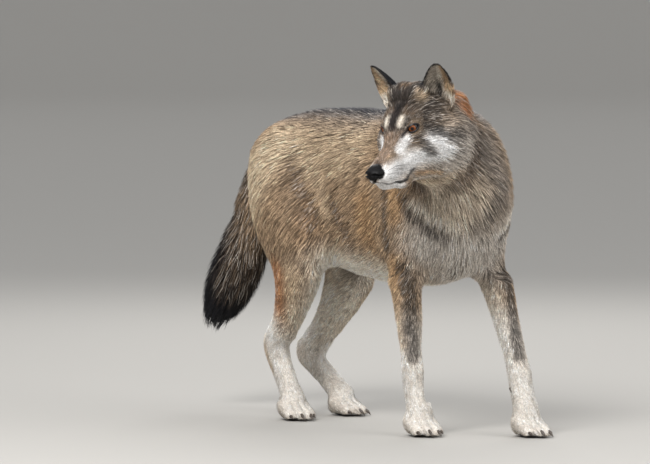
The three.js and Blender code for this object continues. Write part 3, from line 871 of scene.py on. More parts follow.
nose = {
    "lumps": [
        {"at": (103, 0, -60), "radii": (19, 19, 13)},
        {"at": (103, 12, -62), "radii": (15, 10.5, 11)},
        {"at": (96, 0, -52), "radii": (18, 16, 7.5)},
        {"at": (116, 0, -65), "radii": (7, 9, 9)},
        {"at": (106, 0, -73), "radii": (8, 4.5, 9)},
    ],
    "voxel": .0011,
    "nostril": [((122, 8, -60.5), 4.2), ((117, 11.5, -61.5), 4.4), ((112, 16, -62), 3.6),
                ((108, 20, -63), 2.4), ((103, 23.5, -64), 1.6)],  # places and radii of balls
    "strokes": [
        dict(reach=1.6, push=-1.6, path=onFace((122, 0, -54), (121, 0, -70), (113, 0, -82))),
        dict(reach=3, push=-1.2, path=onFace((112, 20, -66), (100, 19, -68))),
    ],
}


def nostrilShell(side):
    # a tunnel of balls, with three more between each two
    balls = [(np.array(at), radius) for at, radius in nose["nostril"]]
    links = list(zip(balls[:-1], balls[1:]))
    balls += [(at + t * (to - at), radius + t * (end - radius))
              for (at, radius), (to, end) in links for t in (.25, .5, .75)]
    shells = [ellipsoidArrays(at * (1, side, 1), (radius,) * 3) for at, radius in balls]
    points, triangles = gathered(shells)
    return remeshed(fromHead(points), triangles, nose["voxel"] * .8)


def makeNose(material):
    points, triangles = remeshed(*gathered(pairedLumps(nose["lumps"])), nose["voxel"])
    points = relaxed(points, edgesOf(triangles), 10)
    points, triangles = combined(points, triangles, [nostrilShell(1), nostrilShell(-1)], "DIFFERENCE")
    points = relaxed(points, edgesOf(triangles), 2)
    points = modelled(points, triangles, nose["strokes"])
    mesh = meshFrom("nose_leather", points, triangles)
    mesh.materials.append(material)
    piece = pieceFrom("nose_leather", mesh)
    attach(piece, "root")
    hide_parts("nose")
    return treeOf(points, triangles)


def noseLeather():
    # nose leather: bare, pebbled and moist, near black with a soft sheen
    material, tree = newMaterial("moist nose leather")
    place = addNode(tree, "ShaderNodeTexCoord")
    pebbles = addNode(tree, "ShaderNodeTexVoronoi", {"Scale": 1000 / 1.3, "feature": "SMOOTH_F1"},
                      {"Vector": (place, "Object")})
    bump = addNode(tree, "ShaderNodeBump", {"Strength": .35, "Distance": .0004},
                   {"Height": (pebbles, "Distance")})
    shader = addNode(tree, "ShaderNodeBsdfPrincipled",
                     {"Base Color": (*srgb("#0b0a0b"), 1), "Roughness": .6, "Specular IOR Level": .12,
                      "Coat Weight": .05, "Coat Roughness": .3}, {"Normal": (bump, "Normal")})
    addNode(tree, "ShaderNodeOutputMaterial", {}, {"Surface": (shader, "BSDF")})
    return material


noseTree = makeNose(noseLeather())
say("nose")

# Eyes: a ball with a low cornea, its colours laid out by the angle from the line of sight.

eyeball = {
    "look": 30,  # degrees between straight ahead and the line of sight
    "rise": 2,
    "rings": 60,
    "crowding": 1.6,  # how much the rings crowd towards the front, where the iris is
    "spokes": 64,
    "pupil": 3.2,  # radii in millimetres
    "iris": 8.2,
    "cornea": 1.1,  # how far the cornea stands out
    "corneaEnd": .6,  # and how far it reaches past the iris
    "streaks": (23, 7),  # how often the iris's streaks, and their bends, come round
    "streaky": .25,
    "outerFrom": .8,  # share of the iris at which its outer colour ends and its rim starts
    "soft": (.3, .8),  # width of the edges of pupil and iris
    "colours": ("#4c230f", "#7f481d", "#1e0d08", "#141010", "#030303"),  # inner, outer, rim, white, pupil
}


def eyeMaterial():
    # eye: amber iris with dark rim and fine spokes under a clear wet cornea
    material, tree = newMaterial("wet amber eye")
    paint = addNode(tree, "ShaderNodeAttribute", {"attribute_name": "iris"})
    shader = addNode(tree, "ShaderNodeBsdfPrincipled",
                     {"Roughness": .55, "Specular IOR Level": .1, "Coat Weight": .8, "Coat Roughness": .03,
                      "Coat IOR": 1.36},
                     {"Base Color": (paint, "Color")})
    addNode(tree, "ShaderNodeOutputMaterial", {}, {"Surface": (shader, "BSDF")})
    return material


def makeEye(side, material):
    name = "left" if side > 0 else "right"
    centre = np.array(head["eye"]) * (1, side, 1)
    turn, rise = math.radians(eyeball["look"]), math.radians(eyeball["rise"])
    sight = np.array((math.cos(turn) * math.cos(rise), side * math.sin(turn) * math.cos(rise),
                      math.sin(rise)))
    level = unit(np.cross(sight, (0, 0, 1)))
    above = np.cross(level, sight)
    radius = head["eyeRadius"]
    angles = math.pi * (np.arange(1, eyeball["rings"]) / eyeball["rings"]) ** eyeball["crowding"]
    spokes = np.arange(eyeball["spokes"]) * 2 * math.pi / eyeball["spokes"]
    off = radius * np.sin(angles)
    dome = np.maximum(1 - (off / (eyeball["iris"] + eyeball["corneaEnd"])) ** 2, 0) ** 2
    bulge = radius + eyeball["cornea"] * dome * (angles < math.pi / 2)
    ring = (np.cos(spokes)[None, :, None] * level + np.sin(spokes)[None, :, None] * above)
    points = np.cos(angles)[:, None, None] * sight + np.sin(angles)[:, None, None] * ring
    points = bulge[:, None, None] * points
    count, around = len(angles), eyeball["spokes"]
    poles = [sight * (radius + eyeball["cornea"]), -sight * radius]
    points = np.concatenate([points.reshape(-1, 3), poles])
    i, k = np.meshgrid(np.arange(count - 1), np.arange(around), indexing="ij")
    a, b = (i * around + k).ravel(), (i * around + (k + 1) % around).ravel()
    k = np.arange(around)
    front, back = np.full(around, count * around), np.full(around, count * around + 1)
    last = (count - 1) * around
    triangles = np.concatenate([
        inRows(a, a + around, b + around, b), np.stack([front, k, (k + 1) % around], -1),
        np.stack([back, last + (k + 1) % around, last + k], -1)])
    points, triangles = facingOut(fromHead(points + centre), triangles)
    mesh = meshFrom(f"eyeball_{name}", points, triangles)
    addColours(mesh, "iris", irisColours(angles, spokes))
    mesh.materials.append(material)
    piece = pieceFrom(f"eyeball_{name}", mesh)
    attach(piece, "root")
    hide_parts(f"eye_{name}")


def irisColours(angles, spokes):
    off = head["eyeRadius"] * np.sin(np.minimum(angles, math.pi / 2))[:, None]
    often, bends = eyeball["streaks"]
    streak = .5 + .5 * np.sin(spokes * often + 2 * np.sin(spokes * bends))[None, :]
    streak = 1 - eyeball["streaky"] + eyeball["streaky"] * streak
    inner, outer, rim, white, black = (np.array(srgb(colour)) for colour in eyeball["colours"])
    pupilEnd, irisEnd = eyeball["pupil"], eyeball["iris"]
    outerEnd = irisEnd * eyeball["outerFrom"]
    softPupil, softIris = eyeball["soft"]
    share = fade(off, pupilEnd, outerEnd) * streak
    colour = inner + (outer - inner) * np.broadcast_to(share, (len(angles), len(spokes)))[..., None]
    edge = fade(off, outerEnd, irisEnd)
    beyond = fade(off, irisEnd, irisEnd + softIris)
    pupil = 1 - fade(off, pupilEnd - softPupil, pupilEnd + softPupil)
    for weight, other in ((edge, rim), (beyond, white), (pupil, black)):
        colour = colour + weight[..., None] * (other - colour)
    return np.concatenate([colour.reshape(-1, 3), [black], [white]])


wetEye = eyeMaterial()
for side in (1, -1):
    makeEye(side, wetEye)
say("eyes")

# Claws and whiskers: lines swept with a tapering round section by one geometry nodes tree.


def taperTree():
    tree = bpy.data.node_groups.new("tapered horn", "GeometryNodeTree")
    for name, kind in (("Geometry", "Geometry"), ("Sides", "Int"), ("Material", "Material")):
        tree.interface.new_socket(name, in_out="INPUT", socket_type="NodeSocket" + kind)
    tree.interface.new_socket("Geometry", in_out="OUTPUT", socket_type="NodeSocketGeometry")
    start = addNode(tree, "NodeGroupInput")
    girth = addNode(tree, "GeometryNodeInputNamedAttribute", {"data_type": "FLOAT", "Name": "girth"})
    lines = addNode(tree, "GeometryNodeMeshToCurve", {}, {"Mesh": (start, "Geometry")})
    section = addNode(tree, "GeometryNodeCurvePrimitiveCircle", {"Radius": 1.0},
                      {"Resolution": (start, "Sides")})
    swept = addNode(tree, "GeometryNodeCurveToMesh", {"Fill Caps": True},
                    {"Curve": (lines, "Curve"), "Profile Curve": (section, "Curve"),
                     "Scale": (girth, "Attribute")})
    real = addNode(tree, "GeometryNodeRealizeInstances", {}, {"Geometry": (swept, "Mesh")})
    smooth = addNode(tree, "GeometryNodeSetShadeSmooth", {}, {"Geometry": (real, "Geometry")})
    finish = addNode(tree, "GeometryNodeSetMaterial", {}, {"Geometry": (smooth, "Geometry"),
                                                            "Material": (start, "Material")})
    addNode(tree, "NodeGroupOutput", {}, {"Geometry": (finish, "Geometry")})
    return tree


hornTree = taperTree()


def sweptLines(name, lines, girths, material, sides):
    # one piece from many lines; girths are the section's radii along each line, in metres
    mesh = bpy.data.meshes.new(name)
    points, edges, count = [], [], 0
    for line in lines:
        points.extend(tuple(p) for p in line)
        edges.extend((count + i, count + i + 1) for i in range(len(line) - 1))
        count += len(line)
    mesh.from_pydata(points, edges, [])
    girth = mesh.attributes.new("girth", "FLOAT", "POINT")
    girth.data.foreach_set("value", np.concatenate(girths).astype(np.float32))
    piece = pieceFrom(name, mesh)
    modifier = piece.modifiers.new("horn", "NODES")
    modifier.node_group = hornTree
    values = {"Sides": sides, "Material": material}
    for item in hornTree.interface.items_tree:
        if item.name in values:
            modifier[item.identifier] = values[item.name]
    made = withModifiers(piece)
    bpy.data.objects.remove(piece)
    piece = pieceFrom(name, made)
    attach(piece, "root")
    return piece


claws = {  # lengths in metres
    "girth": .0042,
    "tip": .12,  # share of the girth left at the point
    "taper": 1.4,
    "bend": .0022,
    "sunk": .001,
    "buried": .2,  # share of the length added under the skin
    "steps": 8,
    "sides": 12,
}


def clawLine(node):
    # from the cone's wide end, sunk in the skin, to its point, arched upwards
    root, point = clawEnds(node)
    at, normal, _, _ = skinTree.find_nearest(root.tolist())
    proud = (root - np.array(at)) @ np.array(normal)
    shift = np.array(normal) * -max(proud + claws["sunk"], 0)
    root, point = root + shift, point + shift
    t = np.linspace(-claws["buried"], 1, claws["steps"])[:, None]
    arch = claws["bend"] * np.sin(math.pi * np.clip(t, 0, 1))
    line = root + t * (point - root) + arch * np.array((0, 0, 1))
    girth = claws["girth"] * (1 - (1 - claws["tip"]) * np.clip(t[:, 0], 0, 1) ** claws["taper"])
    return line, girth


def hornMaterial():
    # claw horn: dark keratin worn a little paler, satin, with a fine grain
    material, tree = newMaterial("claw horn")
    place = addNode(tree, "ShaderNodeTexCoord")
    # a grain about 2.5 mm across
    grain = addNode(tree, "ShaderNodeTexNoise", {"Scale": 1000 / 2.5, "Detail": 3.0},
                    {"Vector": (place, "Object")})
    ramp = addNode(tree, "ShaderNodeValToRGB", {}, {"Fac": (grain, "Fac")})
    ramp.color_ramp.elements[0].color = (*srgb("#1e1916"), 1)
    ramp.color_ramp.elements[1].color = (*srgb("#5a4c40"), 1)
    shader = addNode(tree, "ShaderNodeBsdfPrincipled", {"Roughness": .38}, {"Base Color": (ramp, "Color")})
    addNode(tree, "ShaderNodeOutputMaterial", {}, {"Surface": (shader, "BSDF")})
    return material


clawNodes = sorted(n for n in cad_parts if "claw" in n)
clawLines = [clawLine(node) for node in clawNodes]
clawPiece = sweptLines("claws", *zip(*clawLines), hornMaterial(), claws["sides"])
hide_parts(*clawNodes)
say("claws")

whiskers = {
    "rows": [  # along the muzzle, and height, in the head's frame: first and last root of each row
        ((88, 20, -62), (64, 26, -58), 4),
        ((90, 19, -68), (58, 29, -66), 5),
        ((88, 19, -75), (56, 29, -75), 5),
    ],
    "brow": [(2, 33, 24), (-4, 36, 25)],
    "length": (30, 62),
    "out": .75,  # how far they stand out, against how far they sweep back
    "back": (-.75, 0, -.12),
    "stray": .14,
    "droop": .22,
    "hang": (-.5, 0, -1),  # where the drooping tips point
    "girth": .00032,
    "tip": .15,
    "steps": 9,
    "sides": 5,
    "seed": 3,
}


def whiskerLines():
    dice = np.random.default_rng(whiskers["seed"])
    roots = [np.array(start) + t * (np.array(end) - start) for start, end, count in whiskers["rows"]
             for t in np.linspace(0, 1, count)] + [np.array(place, float) for place in whiskers["brow"]]
    lines = []
    for side in (1, -1):
        for root in roots:
            at, normal, _, _ = skinTree.find_nearest(fromHead(root * (1, side, 1)).tolist())
            out = np.array(normal) @ headTurn  # in the head's frame
            swept = unit(whiskers["out"] * out + np.array(whiskers["back"])
                         + whiskers["stray"] * dice.normal(size=3))
            length = dice.uniform(*whiskers["length"])
            t = np.linspace(-.03, 1, whiskers["steps"])[:, None]
            droop = whiskers["droop"] * t ** 2 * (np.array(whiskers["hang"]) - swept)
            lines.append(fromHead(inHead(np.array(at)) + length * (t * swept + droop)))
    return lines


def whiskerMaterial():
    # whisker: stiff dark keratin, smooth enough to glint
    material, tree = newMaterial("whisker")
    shader = addNode(tree, "ShaderNodeBsdfPrincipled",
                     {"Base Color": (*srgb("#3a3230"), 1), "Roughness": .35})
    addNode(tree, "ShaderNodeOutputMaterial", {}, {"Surface": (shader, "BSDF")})
    return material


lines = whiskerLines()
girths = [whiskers["girth"] * np.linspace(1, whiskers["tip"], whiskers["steps"])] * len(lines)
whiskerPiece = sweptLines("whiskers", lines, girths, whiskerMaterial(), whiskers["sides"])
say("whiskers")

# Bare places: the lids' margins, the lips' edge, the skin round the nose leather and the pads.

bare = {  # distances in millimetres between which bare skin gives way to hair
    "lid": (1.7, 2.6),
    "lip": (1.8, 3.0),
    "nose": (.8, 2.2),
    "noseAt": (104, 0, -58),  # only within this reach, for speed
    "noseReach": 40,
    "socket": 13.9,  # reach of the bare socket from the ball's centre
    "pad": 7,  # height under which skin that faces down is a pad
}


lidPaths = [np.concatenate([line, line[:1]]) for line in (lidLine(1), lidLine(-1))]
lipPaths = routesOf({"path": settled(lipLine, 0, skinTree), "both": True})


def faceGaps(points):
    # millimetres from each point to the nearer lid margin and to the lips' line
    return [np.minimum(*(gapTo(points, path) for path in pair)) for pair in (lidPaths, lipPaths)]


def bareness(points, normals):
    # 1 where the skin is bare, 0 under the coat
    lid, lip = faceGaps(points)
    value = np.maximum(1 - fade(lid, *bare["lid"]), 1 - fade(lip, *bare["lip"]))
    for side in (1, -1):
        middle = fromHead(np.array(head["eye"]) * (1, side, 1))
        value[np.linalg.norm(points - middle, axis=1) * 1000 < bare["socket"]] = 1
    away = np.linalg.norm(points - fromHead(bare["noseAt"]), axis=1) * 1000
    near = np.nonzero(away < bare["noseReach"])[0]
    gap = nearestOn(noseTree, points[near], 3) * 1000
    value[near] = np.maximum(value[near], 1 - fade(gap, *bare["nose"]))
    value[(points[:, 2] * 1000 < bare["pad"]) & (normals[:, 2] < -.5)] = 1
    return value


skinBare = bareness(skinPoints, skinNormals)
skinOwners = ownersOf(skinPoints)


def onEar(points, normals, owners, side):
    # shares across (-1 to 1, outwards) and up one ear, and whether the place is on it and in its cup
    root, axis, opening, lateral, height = earAxes(side)
    local = inHead(points) - root
    up = local @ axis / height
    outline = np.array(ear["outline"])
    across = local @ lateral / (ear["halfWidth"] * np.interp(up, outline[:, 0], outline[:, 1]))
    name = "ear_left" if side > 0 else "ear_right"
    here = (owners == fleshNodes.index(name)) & (up > ear["from"])
    facing = normals @ headTurn @ opening
    return across, up, here, here & (facing > ear["open"])


# The lie of the coat: strokes of a comb, each with the reach in millimetres over which it leads.

combing = [
    # back, flanks and belly
    dict(reach=90, path=onBody((250, 0, 720), (0, 0, 712), (-240, 0, 712), (-370, -10, 670))),
    dict(reach=64, both=True,
         path=onBody((260, -110, 670), (80, -120, 640), (-120, -120, 590), (-250, -115, 540))),
    dict(reach=74, both=True, path=onBody((230, -135, 580), (80, -135, 510), (-80, -120, 430))),
    dict(reach=70, both=True, path=onBody((260, -60, 350), (60, -80, 335), (-140, -70, 350))),
    # rump and thighs
    dict(reach=60, both=True,
         path=onBody((-300, -70, 680), (-370, -80, 600), (-370, -90, 480), (-330, -100, 390))),
    dict(reach=70, both=True,
         path=onNode("hind_right_thigh", (.62, .1, .9), (.5, 0, .5), (.55, .1, .1)) +
              onNode("hind_right_shank", (.5, .3, .6), (.15, .5, .1))),
    dict(reach=60, both=True,
         path=onNode("hind_right_thigh", (.95, .3, .8), (.93, .3, .3)) +
              onNode("hind_right_shank", (.9, .4, .9), (.45, .5, .2))),
    dict(reach=40, both=True,
         path=onNode("hind_right_shank", (.3, .5, .3)) +
              onNode("hind_right_hock", (.3, .5, .8), (.6, .5, .1)) +
              onNode("hind_right_paw", (.45, .5, .6), (.95, .5, .2))),
    # neck: from the head's back and throat down and round to the shoulders and chest
    dict(reach=80,
         path=onFace((-100, 60, 30), (-130, 70, -10)) + onNode("neck", (.75, .45, .5), (.6, .75, .2)) +
              onBody((290, 120, 440))),
    dict(reach=80,
         path=onFace((-60, 20, -110)) + onNode("neck", (.75, .2, .35), (.6, .45, .1)) +
              onBody((380, 0, 420), (340, 0, 340))),
    dict(reach=60,
         path=onFace((-100, 0, 76), (-150, 0, 60)) + onNode("neck", (.35, .7, .85)) +
              onBody((270, 30, 700))),
    dict(reach=70,
         path=onFace((-110, -80, -20)) + onNode("neck", (.2, .2, .4)) +
              onBody((290, -120, 500), (270, -130, 400))),
    # forelegs
    dict(reach=60, both=True,
         path=onNode("front_right_shoulder", (.55, .1, .95), (.55, 0, .5), (.35, .2, .05)) +
              onNode("front_right_forearm", (.3, .4, .6), (.45, .4, .1))),
    dict(reach=40, both=True,
         path=onNode("front_right_forearm", (.5, .5, .6), (.6, .5, .05)) +
              onNode("front_right_pastern", (.5, .5, .4)) +
              onNode("front_right_paw", (.4, .5, .6), (.95, .5, .2))),
    # tail
    dict(reach=60,
         path=onBody((-350, -20, 640), (-400, -34, 560), (-424, -56, 440), (-470, -78, 310),
              (-525, -97, 190))),
    # face and head
    dict(reach=22, path=onFace((100, 0, -38), (40, 0, -12), (-8, 0, 24), (-60, 0, 66), (-130, 0, 76))),
    dict(reach=24, both=True,
         path=onFace((100, 18, -62), (50, 30, -58), (0, 44, -56), (-50, 66, -54), (-110, 96, -70))),
    dict(reach=20, both=True,
         path=onFace((14, 32, -20), (-30, 54, -20), (-70, 74, -24), (-120, 90, -34))),
    dict(reach=18, both=True, path=onFace((4, 14, 12), (-10, 30, 26), (-40, 44, 44), (-90, 44, 72))),
    dict(reach=22, both=True, path=onFace((-26, 48, 6), (-60, 66, 12), (-110, 82, 8))),
    dict(reach=24, both=True,
         path=onFace((92, 4, -98), (50, 16, -108), (0, 30, -112), (-60, 56, -122), (-110, 70, -150))),
]


lieMaking = {
    "rounds": 4,
    "settle": 6,
    "far": 1e-7,  # how much a distant stroke still counts
    "soft": .01,  # metres
}


def lieOf(points, normals, edges):
    # near a stroke the lie follows it, and far from all of them it follows the nearest most
    lie = np.zeros_like(points)
    for stroke in combing:
        for route in routesOf(stroke):
            gap, heading = besideRoute(points, route)
            weight = np.exp(-np.clip(gap * 1000 / stroke["reach"], 0, 6) ** 2)
            weight = weight + lieMaking["far"] / (gap + lieMaking["soft"]) ** 3
            lie += weight[:, None] * heading
    for _ in range(lieMaking["rounds"]):
        lie = relaxed(unit(flattened(lie, normals)), edges, lieMaking["settle"])
    return unit(flattened(lie, normals))


skinLie = lieOf(skinPoints, skinNormals, skinEdges)
skinCoat = coatAt(skinPoints, skinEdges, 20)

earCoat = {
    "back": [2.2, 9, 1.1, 1.6, 9, .1],  # in the columns of coat
    "cup": [6, 17, .9, 1.5, 15, .25],
    "cupTip": [2.5, 8, .9, 1.5, 12, .1],
    "thins": (.25, .9),  # shares of the ear's height between which the cup's coat becomes its tip's
    "sweep": .55,  # how far the hair in the cup leans outwards
}


def combEars():
    for side in (1, -1):
        _, axis, _, lateral, _ = earAxes(side)
        _, up, here, cup = onEar(skinPoints, skinNormals, skinOwners, side)
        skinCoat[here] = earCoat["back"]
        share = fade(up, *earCoat["thins"])[cup, None]
        skinCoat[cup] = np.array(earCoat["cup"]) * (1 - share) + np.array(earCoat["cupTip"]) * share
        skinLie[here] = headTurn @ axis
        skinLie[cup] = headTurn @ unit(axis + earCoat["sweep"] * lateral)
        skinLie[here] = unit(flattened(skinLie[here], skinNormals[here]))


combEars()
say("coat combed")

# The markings: patches of colour laid over each other along short paths on the skin, with their reach in
# millimetres. Pepper is the share of tufts with dark tips, core the share of the reach at full strength,
# and on names the nodes that a patch keeps to.

tones = {
    "charcoal": "#2b2b31",
    "grizzle": "#74706f",
    "smoke": "#2e2a28",
    "grey": "#8b837b",
    "silver": "#c3bab0",
    "tan": "#a48b70",
    "pale": "#b9a388",
    "fawn": "#cdb699",
    "ochre": "#bc9468",
    "rust": "#99643e",
    "cream": "#eddfcd",
    "white": "#f6f3f0",
    "sock": "#f1e7db",
    "brown": "#80664d",
    "umber": "#432f22",
    "bridge": "#897361",
    "soot": "#221c1b",
    "black": "#17171b",
}
groundTone = ("tan", .42)
usualCore = .2
markings = [
    # trunk
    dict(tone="pale", pepper=.35, reach=110, hold=.8, both=True,
         path=onBody((60, -120, 640), (-120, -125, 630))),
    dict(tone="fawn", pepper=.2, reach=105, hold=1, both=True,
         path=onBody((-215, -140, 620), (-250, -140, 560), (-280, -130, 500))),
    dict(tone="grizzle", pepper=.5, reach=110, hold=.7,
         path=onBody((300, 0, 750), (180, 0, 750), (0, 0, 742), (-240, 0, 742))),
    dict(tone="charcoal", pepper=.6, reach=66, hold=.95,
         path=onBody((200, 0, 750), (0, 0, 740), (-240, 0, 740), (-390, -20, 680))),
    dict(tone="fawn", pepper=.3, reach=40, hold=.5, both=True,
         path=onBody((-100, -135, 585), (-50, -130, 530), (-30, -122, 480))),
    dict(tone="umber", pepper=.5, reach=32, hold=.55, both=True, core=0,
         path=onBody((-160, -138, 590), (-124, -137, 545), (-86, -130, 500), (-68, -126, 465))),
    dict(tone="ochre", pepper=.3, reach=70, hold=.5, both=True,
         path=onBody((140, -128, 490), (132, -125, 440))),
    dict(tone="umber", pepper=.5, reach=28, hold=.6, both=True, core=0,
         path=onBody((-1, -120, 494), (33, -110, 437), (29, -91, 391))),
    dict(tone="cream", pepper=.05, reach=100, hold=1, both=True,
         path=onBody((200, -30, 325), (-20, -40, 332), (-130, -60, 355), (-190, -60, 400))),
    # behind the shoulder: partly dark hair, partly painted shade between the shoulder and the trunk
    dict(tone="soot", pepper=.7, reach=22, hold=.7, both=True, core=0,
         path=onBody((233, -138, 529), (232, -130, 460), (227, -126, 402))),
    # thighs and hind legs
    # painted shade in the fold between flank and thigh
    dict(tone="brown", pepper=.4, reach=56, hold=.5, both=True,
         path=onBody((-75, -136, 470), (-70, -134, 430))),
    dict(tone="fawn", pepper=.1, reach=84, hold=.9, both=True, on=("hind", "loin"), core=0,
         path=onNode("hind_right_thigh", (.04, .2, .62), (.1, .2, .2))),
    # painted shade on the far thigh's inner side, between the hind legs
    dict(tone="smoke", pepper=.4, reach=44, hold=.7, on=("hind_left",),
         path=onNode("hind_left_thigh", (.75, .02, .2)) + onNode("hind_left_shank", (.9, .05, .95))),
    dict(tone="cream", pepper=.05, reach=70, hold=.8, on=("hind_left",),
         path=onNode("hind_left_shank", (.54, .05, .69), (.3, .2, .2))),
    dict(tone="pale", pepper=.15, reach=60, hold=.7, both=True, on=("hind",),
         path=onNode("hind_right_shank", (.7, .1, .9), (.5, .1, .3))),
    dict(tone="cream", pepper=.05, reach=62, hold=.85, both=True,
         path=onNode("hind_right_shank", (.85, .9, .75), (.5, .9, .25))),
    dict(tone="rust", pepper=.12, reach=56, hold=.8, on=("hind_right",),
         path=onNode("hind_right_shank", (.5, .05, .95), (.4, .1, .6), (.22, .3, .2))),
    dict(tone="rust", pepper=.12, reach=46, hold=.5, on=("hind_left",),
         path=onNode("hind_left_shank", (.4, .95, .9), (.2, .7, .3))),
    dict(tone="sock", pepper=.02, reach=100, hold=.95, both=True, core=.2,
         path=onNode("hind_right_shank", (.12, .6, .02)) + onNode("hind_right_hock", (.5, .5, .4)) +
              onNode("hind_right_paw", (.6, .5, .3))),
    dict(tone="ochre", pepper=.15, reach=28, hold=.55, both=True,
         path=onNode("hind_right_hock", (.1, .4, .95), (.35, .3, .3))),
    # tail
    dict(tone="smoke", pepper=.5, reach=90, hold=.8,
         path=onBody((-380, -20, 640), (-430, -40, 560), (-456, -56, 450))),
    dict(tone="brown", pepper=.5, reach=60, hold=.5, path=onBody((-445, -50, 490))),
    dict(tone="black", pepper=.7, reach=160, hold=1, core=.3, on=("tail",),
         path=onBody((-474, -64, 340), (-530, -95, 180))),
    # neck, ruff and chest
    dict(tone="grey", pepper=.42, reach=200, hold=.85,
         path=onFace((-150, 0, -40)) + onNode("neck", (.6, .5, .35))),
    dict(tone="charcoal", pepper=.6, reach=66, hold=.9,
         path=onFace((-125, 0, 70), (-165, 0, 50)) + onNode("neck", (.35, .7, .95)) +
              onBody((285, 0, 750))),
    dict(tone="smoke", pepper=.45, reach=60, hold=.3, both=True,
         path=onFace((-170, 100, -60), (-175, 90, -110))),
    dict(tone="silver", pepper=.15, reach=134, hold=1,
         path=onBody((383, -31, 410), (350, -70, 420), (350, 60, 430), (330, 0, 360))),
    dict(tone="fawn", pepper=.2, reach=96, hold=1, path=onBody((430, -130, 545), (430, -60, 500))),
    dict(tone="cream", pepper=.12, reach=26, hold=.7, both=True,
         path=onBody((332, -128, 502), (371, -97, 470), (392, -72, 456))),
    dict(tone="soot", pepper=.7, reach=22, hold=.75, both=True,
         path=onBody((290, -136, 529), (328, -124, 478), (357, -97, 450), (376, -74, 435))),
    dict(tone="charcoal", pepper=.6, reach=30, hold=.6,
         path=onBody((470, 21, 523), (458, -5, 478), (436, -21, 449))),
    dict(tone="silver", pepper=.2, reach=90, hold=.5, path=onBody((430, -120, 530), (430, -60, 490))),
    # painted shade under the cheek ruff, on the sides of the throat
    dict(tone="umber", pepper=.5, reach=44, hold=.75, both=True, core=0,
         path=onFace((-154, 84, -112), (-132, 68, -152), (-112, 54, -168))),
    # forelegs
    dict(tone="ochre", pepper=.2, reach=36, hold=.5, both=True,
         path=onBody((267, -138, 535), (272, -138, 480))),
    dict(tone="cream", pepper=.08, reach=66, hold=.65, both=True, on=("front",),
         path=onNode("front_right_forearm", (.4, .5, .75), (.5, .5, .25))),
    dict(tone="sock", pepper=.02, reach=110, hold=.95, both=True, core=.2,
         path=onNode("front_right_forearm", (.5, .7, .25)) + onNode("front_right_pastern", (.5, .5, .5)) +
              onNode("front_right_paw", (.6, .5, .3))),
    dict(tone="ochre", pepper=.15, reach=34, hold=.5, both=True,
         path=onNode("front_right_shoulder", (.4, 0, .1)) +
              onNode("front_right_forearm", (.6, 0, .7), (.6, 0, .25))),
    dict(tone="smoke", pepper=.4, reach=25, hold=.75, both=True,
         path=onNode("front_right_shoulder", (.52, .3, .06)) +
              onNode("front_right_forearm", (.94, .35, .77), (.92, .4, .4), (.95, .45, .12))),
    # head
    dict(tone="smoke", pepper=.4, reach=104, hold=.95,
         path=onFace((10, 0, 26), (-40, 0, 60), (-110, 0, 80))),
    dict(tone="smoke", pepper=.55, reach=46, hold=.8, both=True,
         path=onFace((-70, 62, 36), (-47, 70, 14))),
    dict(tone="brown", pepper=.3, reach=26, hold=.4, both=True, path=onFace((-18, 27, 41))),
    dict(tone="bridge", pepper=.12, reach=27, hold=.95,
         path=onFace((95, 0, -38), (60, 0, -24), (20, 0, -4))),
    dict(tone="bridge", pepper=.12, reach=16, hold=.7, both=True,
         path=onFace((30, 20, -12), (16, 28, -4))),
    dict(tone="silver", pepper=.2, reach=64, hold=.85, both=True,
         path=onFace((-60, 96, -62), (-95, 100, -100))),
    dict(tone="white", pepper=.02, reach=36, hold=1, both=True,
         path=onFace((92, 18, -70), (46, 32, -72), (5, 48, -60), (-20, 66, -66), (-50, 88, -70))),
    dict(tone="white", pepper=.02, reach=19, hold=.85, both=True,
         path=onFace((17, 37, -14), (34, 30, -30))),
    dict(tone="white", pepper=.03, reach=29, hold=.95, both=True,
         path=onFace((-24, 76, -28), (-42, 87, -34))),
    dict(tone="umber", pepper=.4, reach=19, hold=.7, path=onFace((92, 0, -40))),
    dict(tone="soot", pepper=.5, reach=17, hold=.8, path=onFace((14, 0, 14), (2, 0, 31), (-24, 0, 50))),
    dict(tone="smoke", pepper=.5, reach=21, hold=.85, both=True,
         path=onFace((-22, 60, -2), (-38, 78, -12), (-60, 98, -28), (-95, 112, -44))),
    dict(tone="smoke", pepper=.4, reach=17, hold=.8, both=True,
         path=onFace((-2, 56, -14), (-6, 64, -28), (-10, 70, -43), (-22, 70, -60))),
    dict(tone="tan", pepper=.1, reach=24, hold=.55, both=True, path=onFace((-11, 42, 3))),
    dict(tone="cream", pepper=0, reach=13, hold=.85, both=True, core=0,
         path=onFace((9, 19, 18), (1, 22, 32))),
    dict(tone="silver", pepper=.15, reach=40, hold=.7, both=True,
         path=onFace((0, 40, -118), (-40, 56, -118), (-70, 80, -110))),
    dict(tone="ochre", pepper=.15, reach=11, hold=.6, both=True,
         path=onFace((4, 44, -104), (-20, 50, -110), (-52, 56, -120))),
    dict(tone="white", pepper=.03, reach=30, hold=.9, both=True,
         path=onFace((92, 0, -98), (50, 12, -106))),
    dict(tone="fawn", pepper=.25, reach=24, hold=.5, both=True, path=onFace((-60, 36, 62))),
    dict(tone="brown", pepper=.3, reach=30, hold=.5, path=onFace((-74, 0, 84))),
    dict(tone="black", pepper=.6, reach=6, hold=.9, both=True, path=onFace((7, 27, 0), (15, 25, -7))),
    # behind the ears
    dict(tone="brown", pepper=.3, reach=46, hold=.6, both=True,
         path=onFace((-175, 50, 30), (-205, 62, -10), (-230, 70, -50))),
    dict(tone="rust", pepper=.12, reach=34, hold=.85, both=True,
         path=onFace((-144, 72, 42), (-158, 80, 18), (-170, 86, -8))),
]
edging = {  # black hair fading out beside the lids and the lips, sought near the face only
    "lid": (1.0, 4.0),
    "lip": (1.5, 4.6),
    "hold": .9,
    "pepper": .5,
    "near": (40, 0, -40),
    "reach": 90,
}
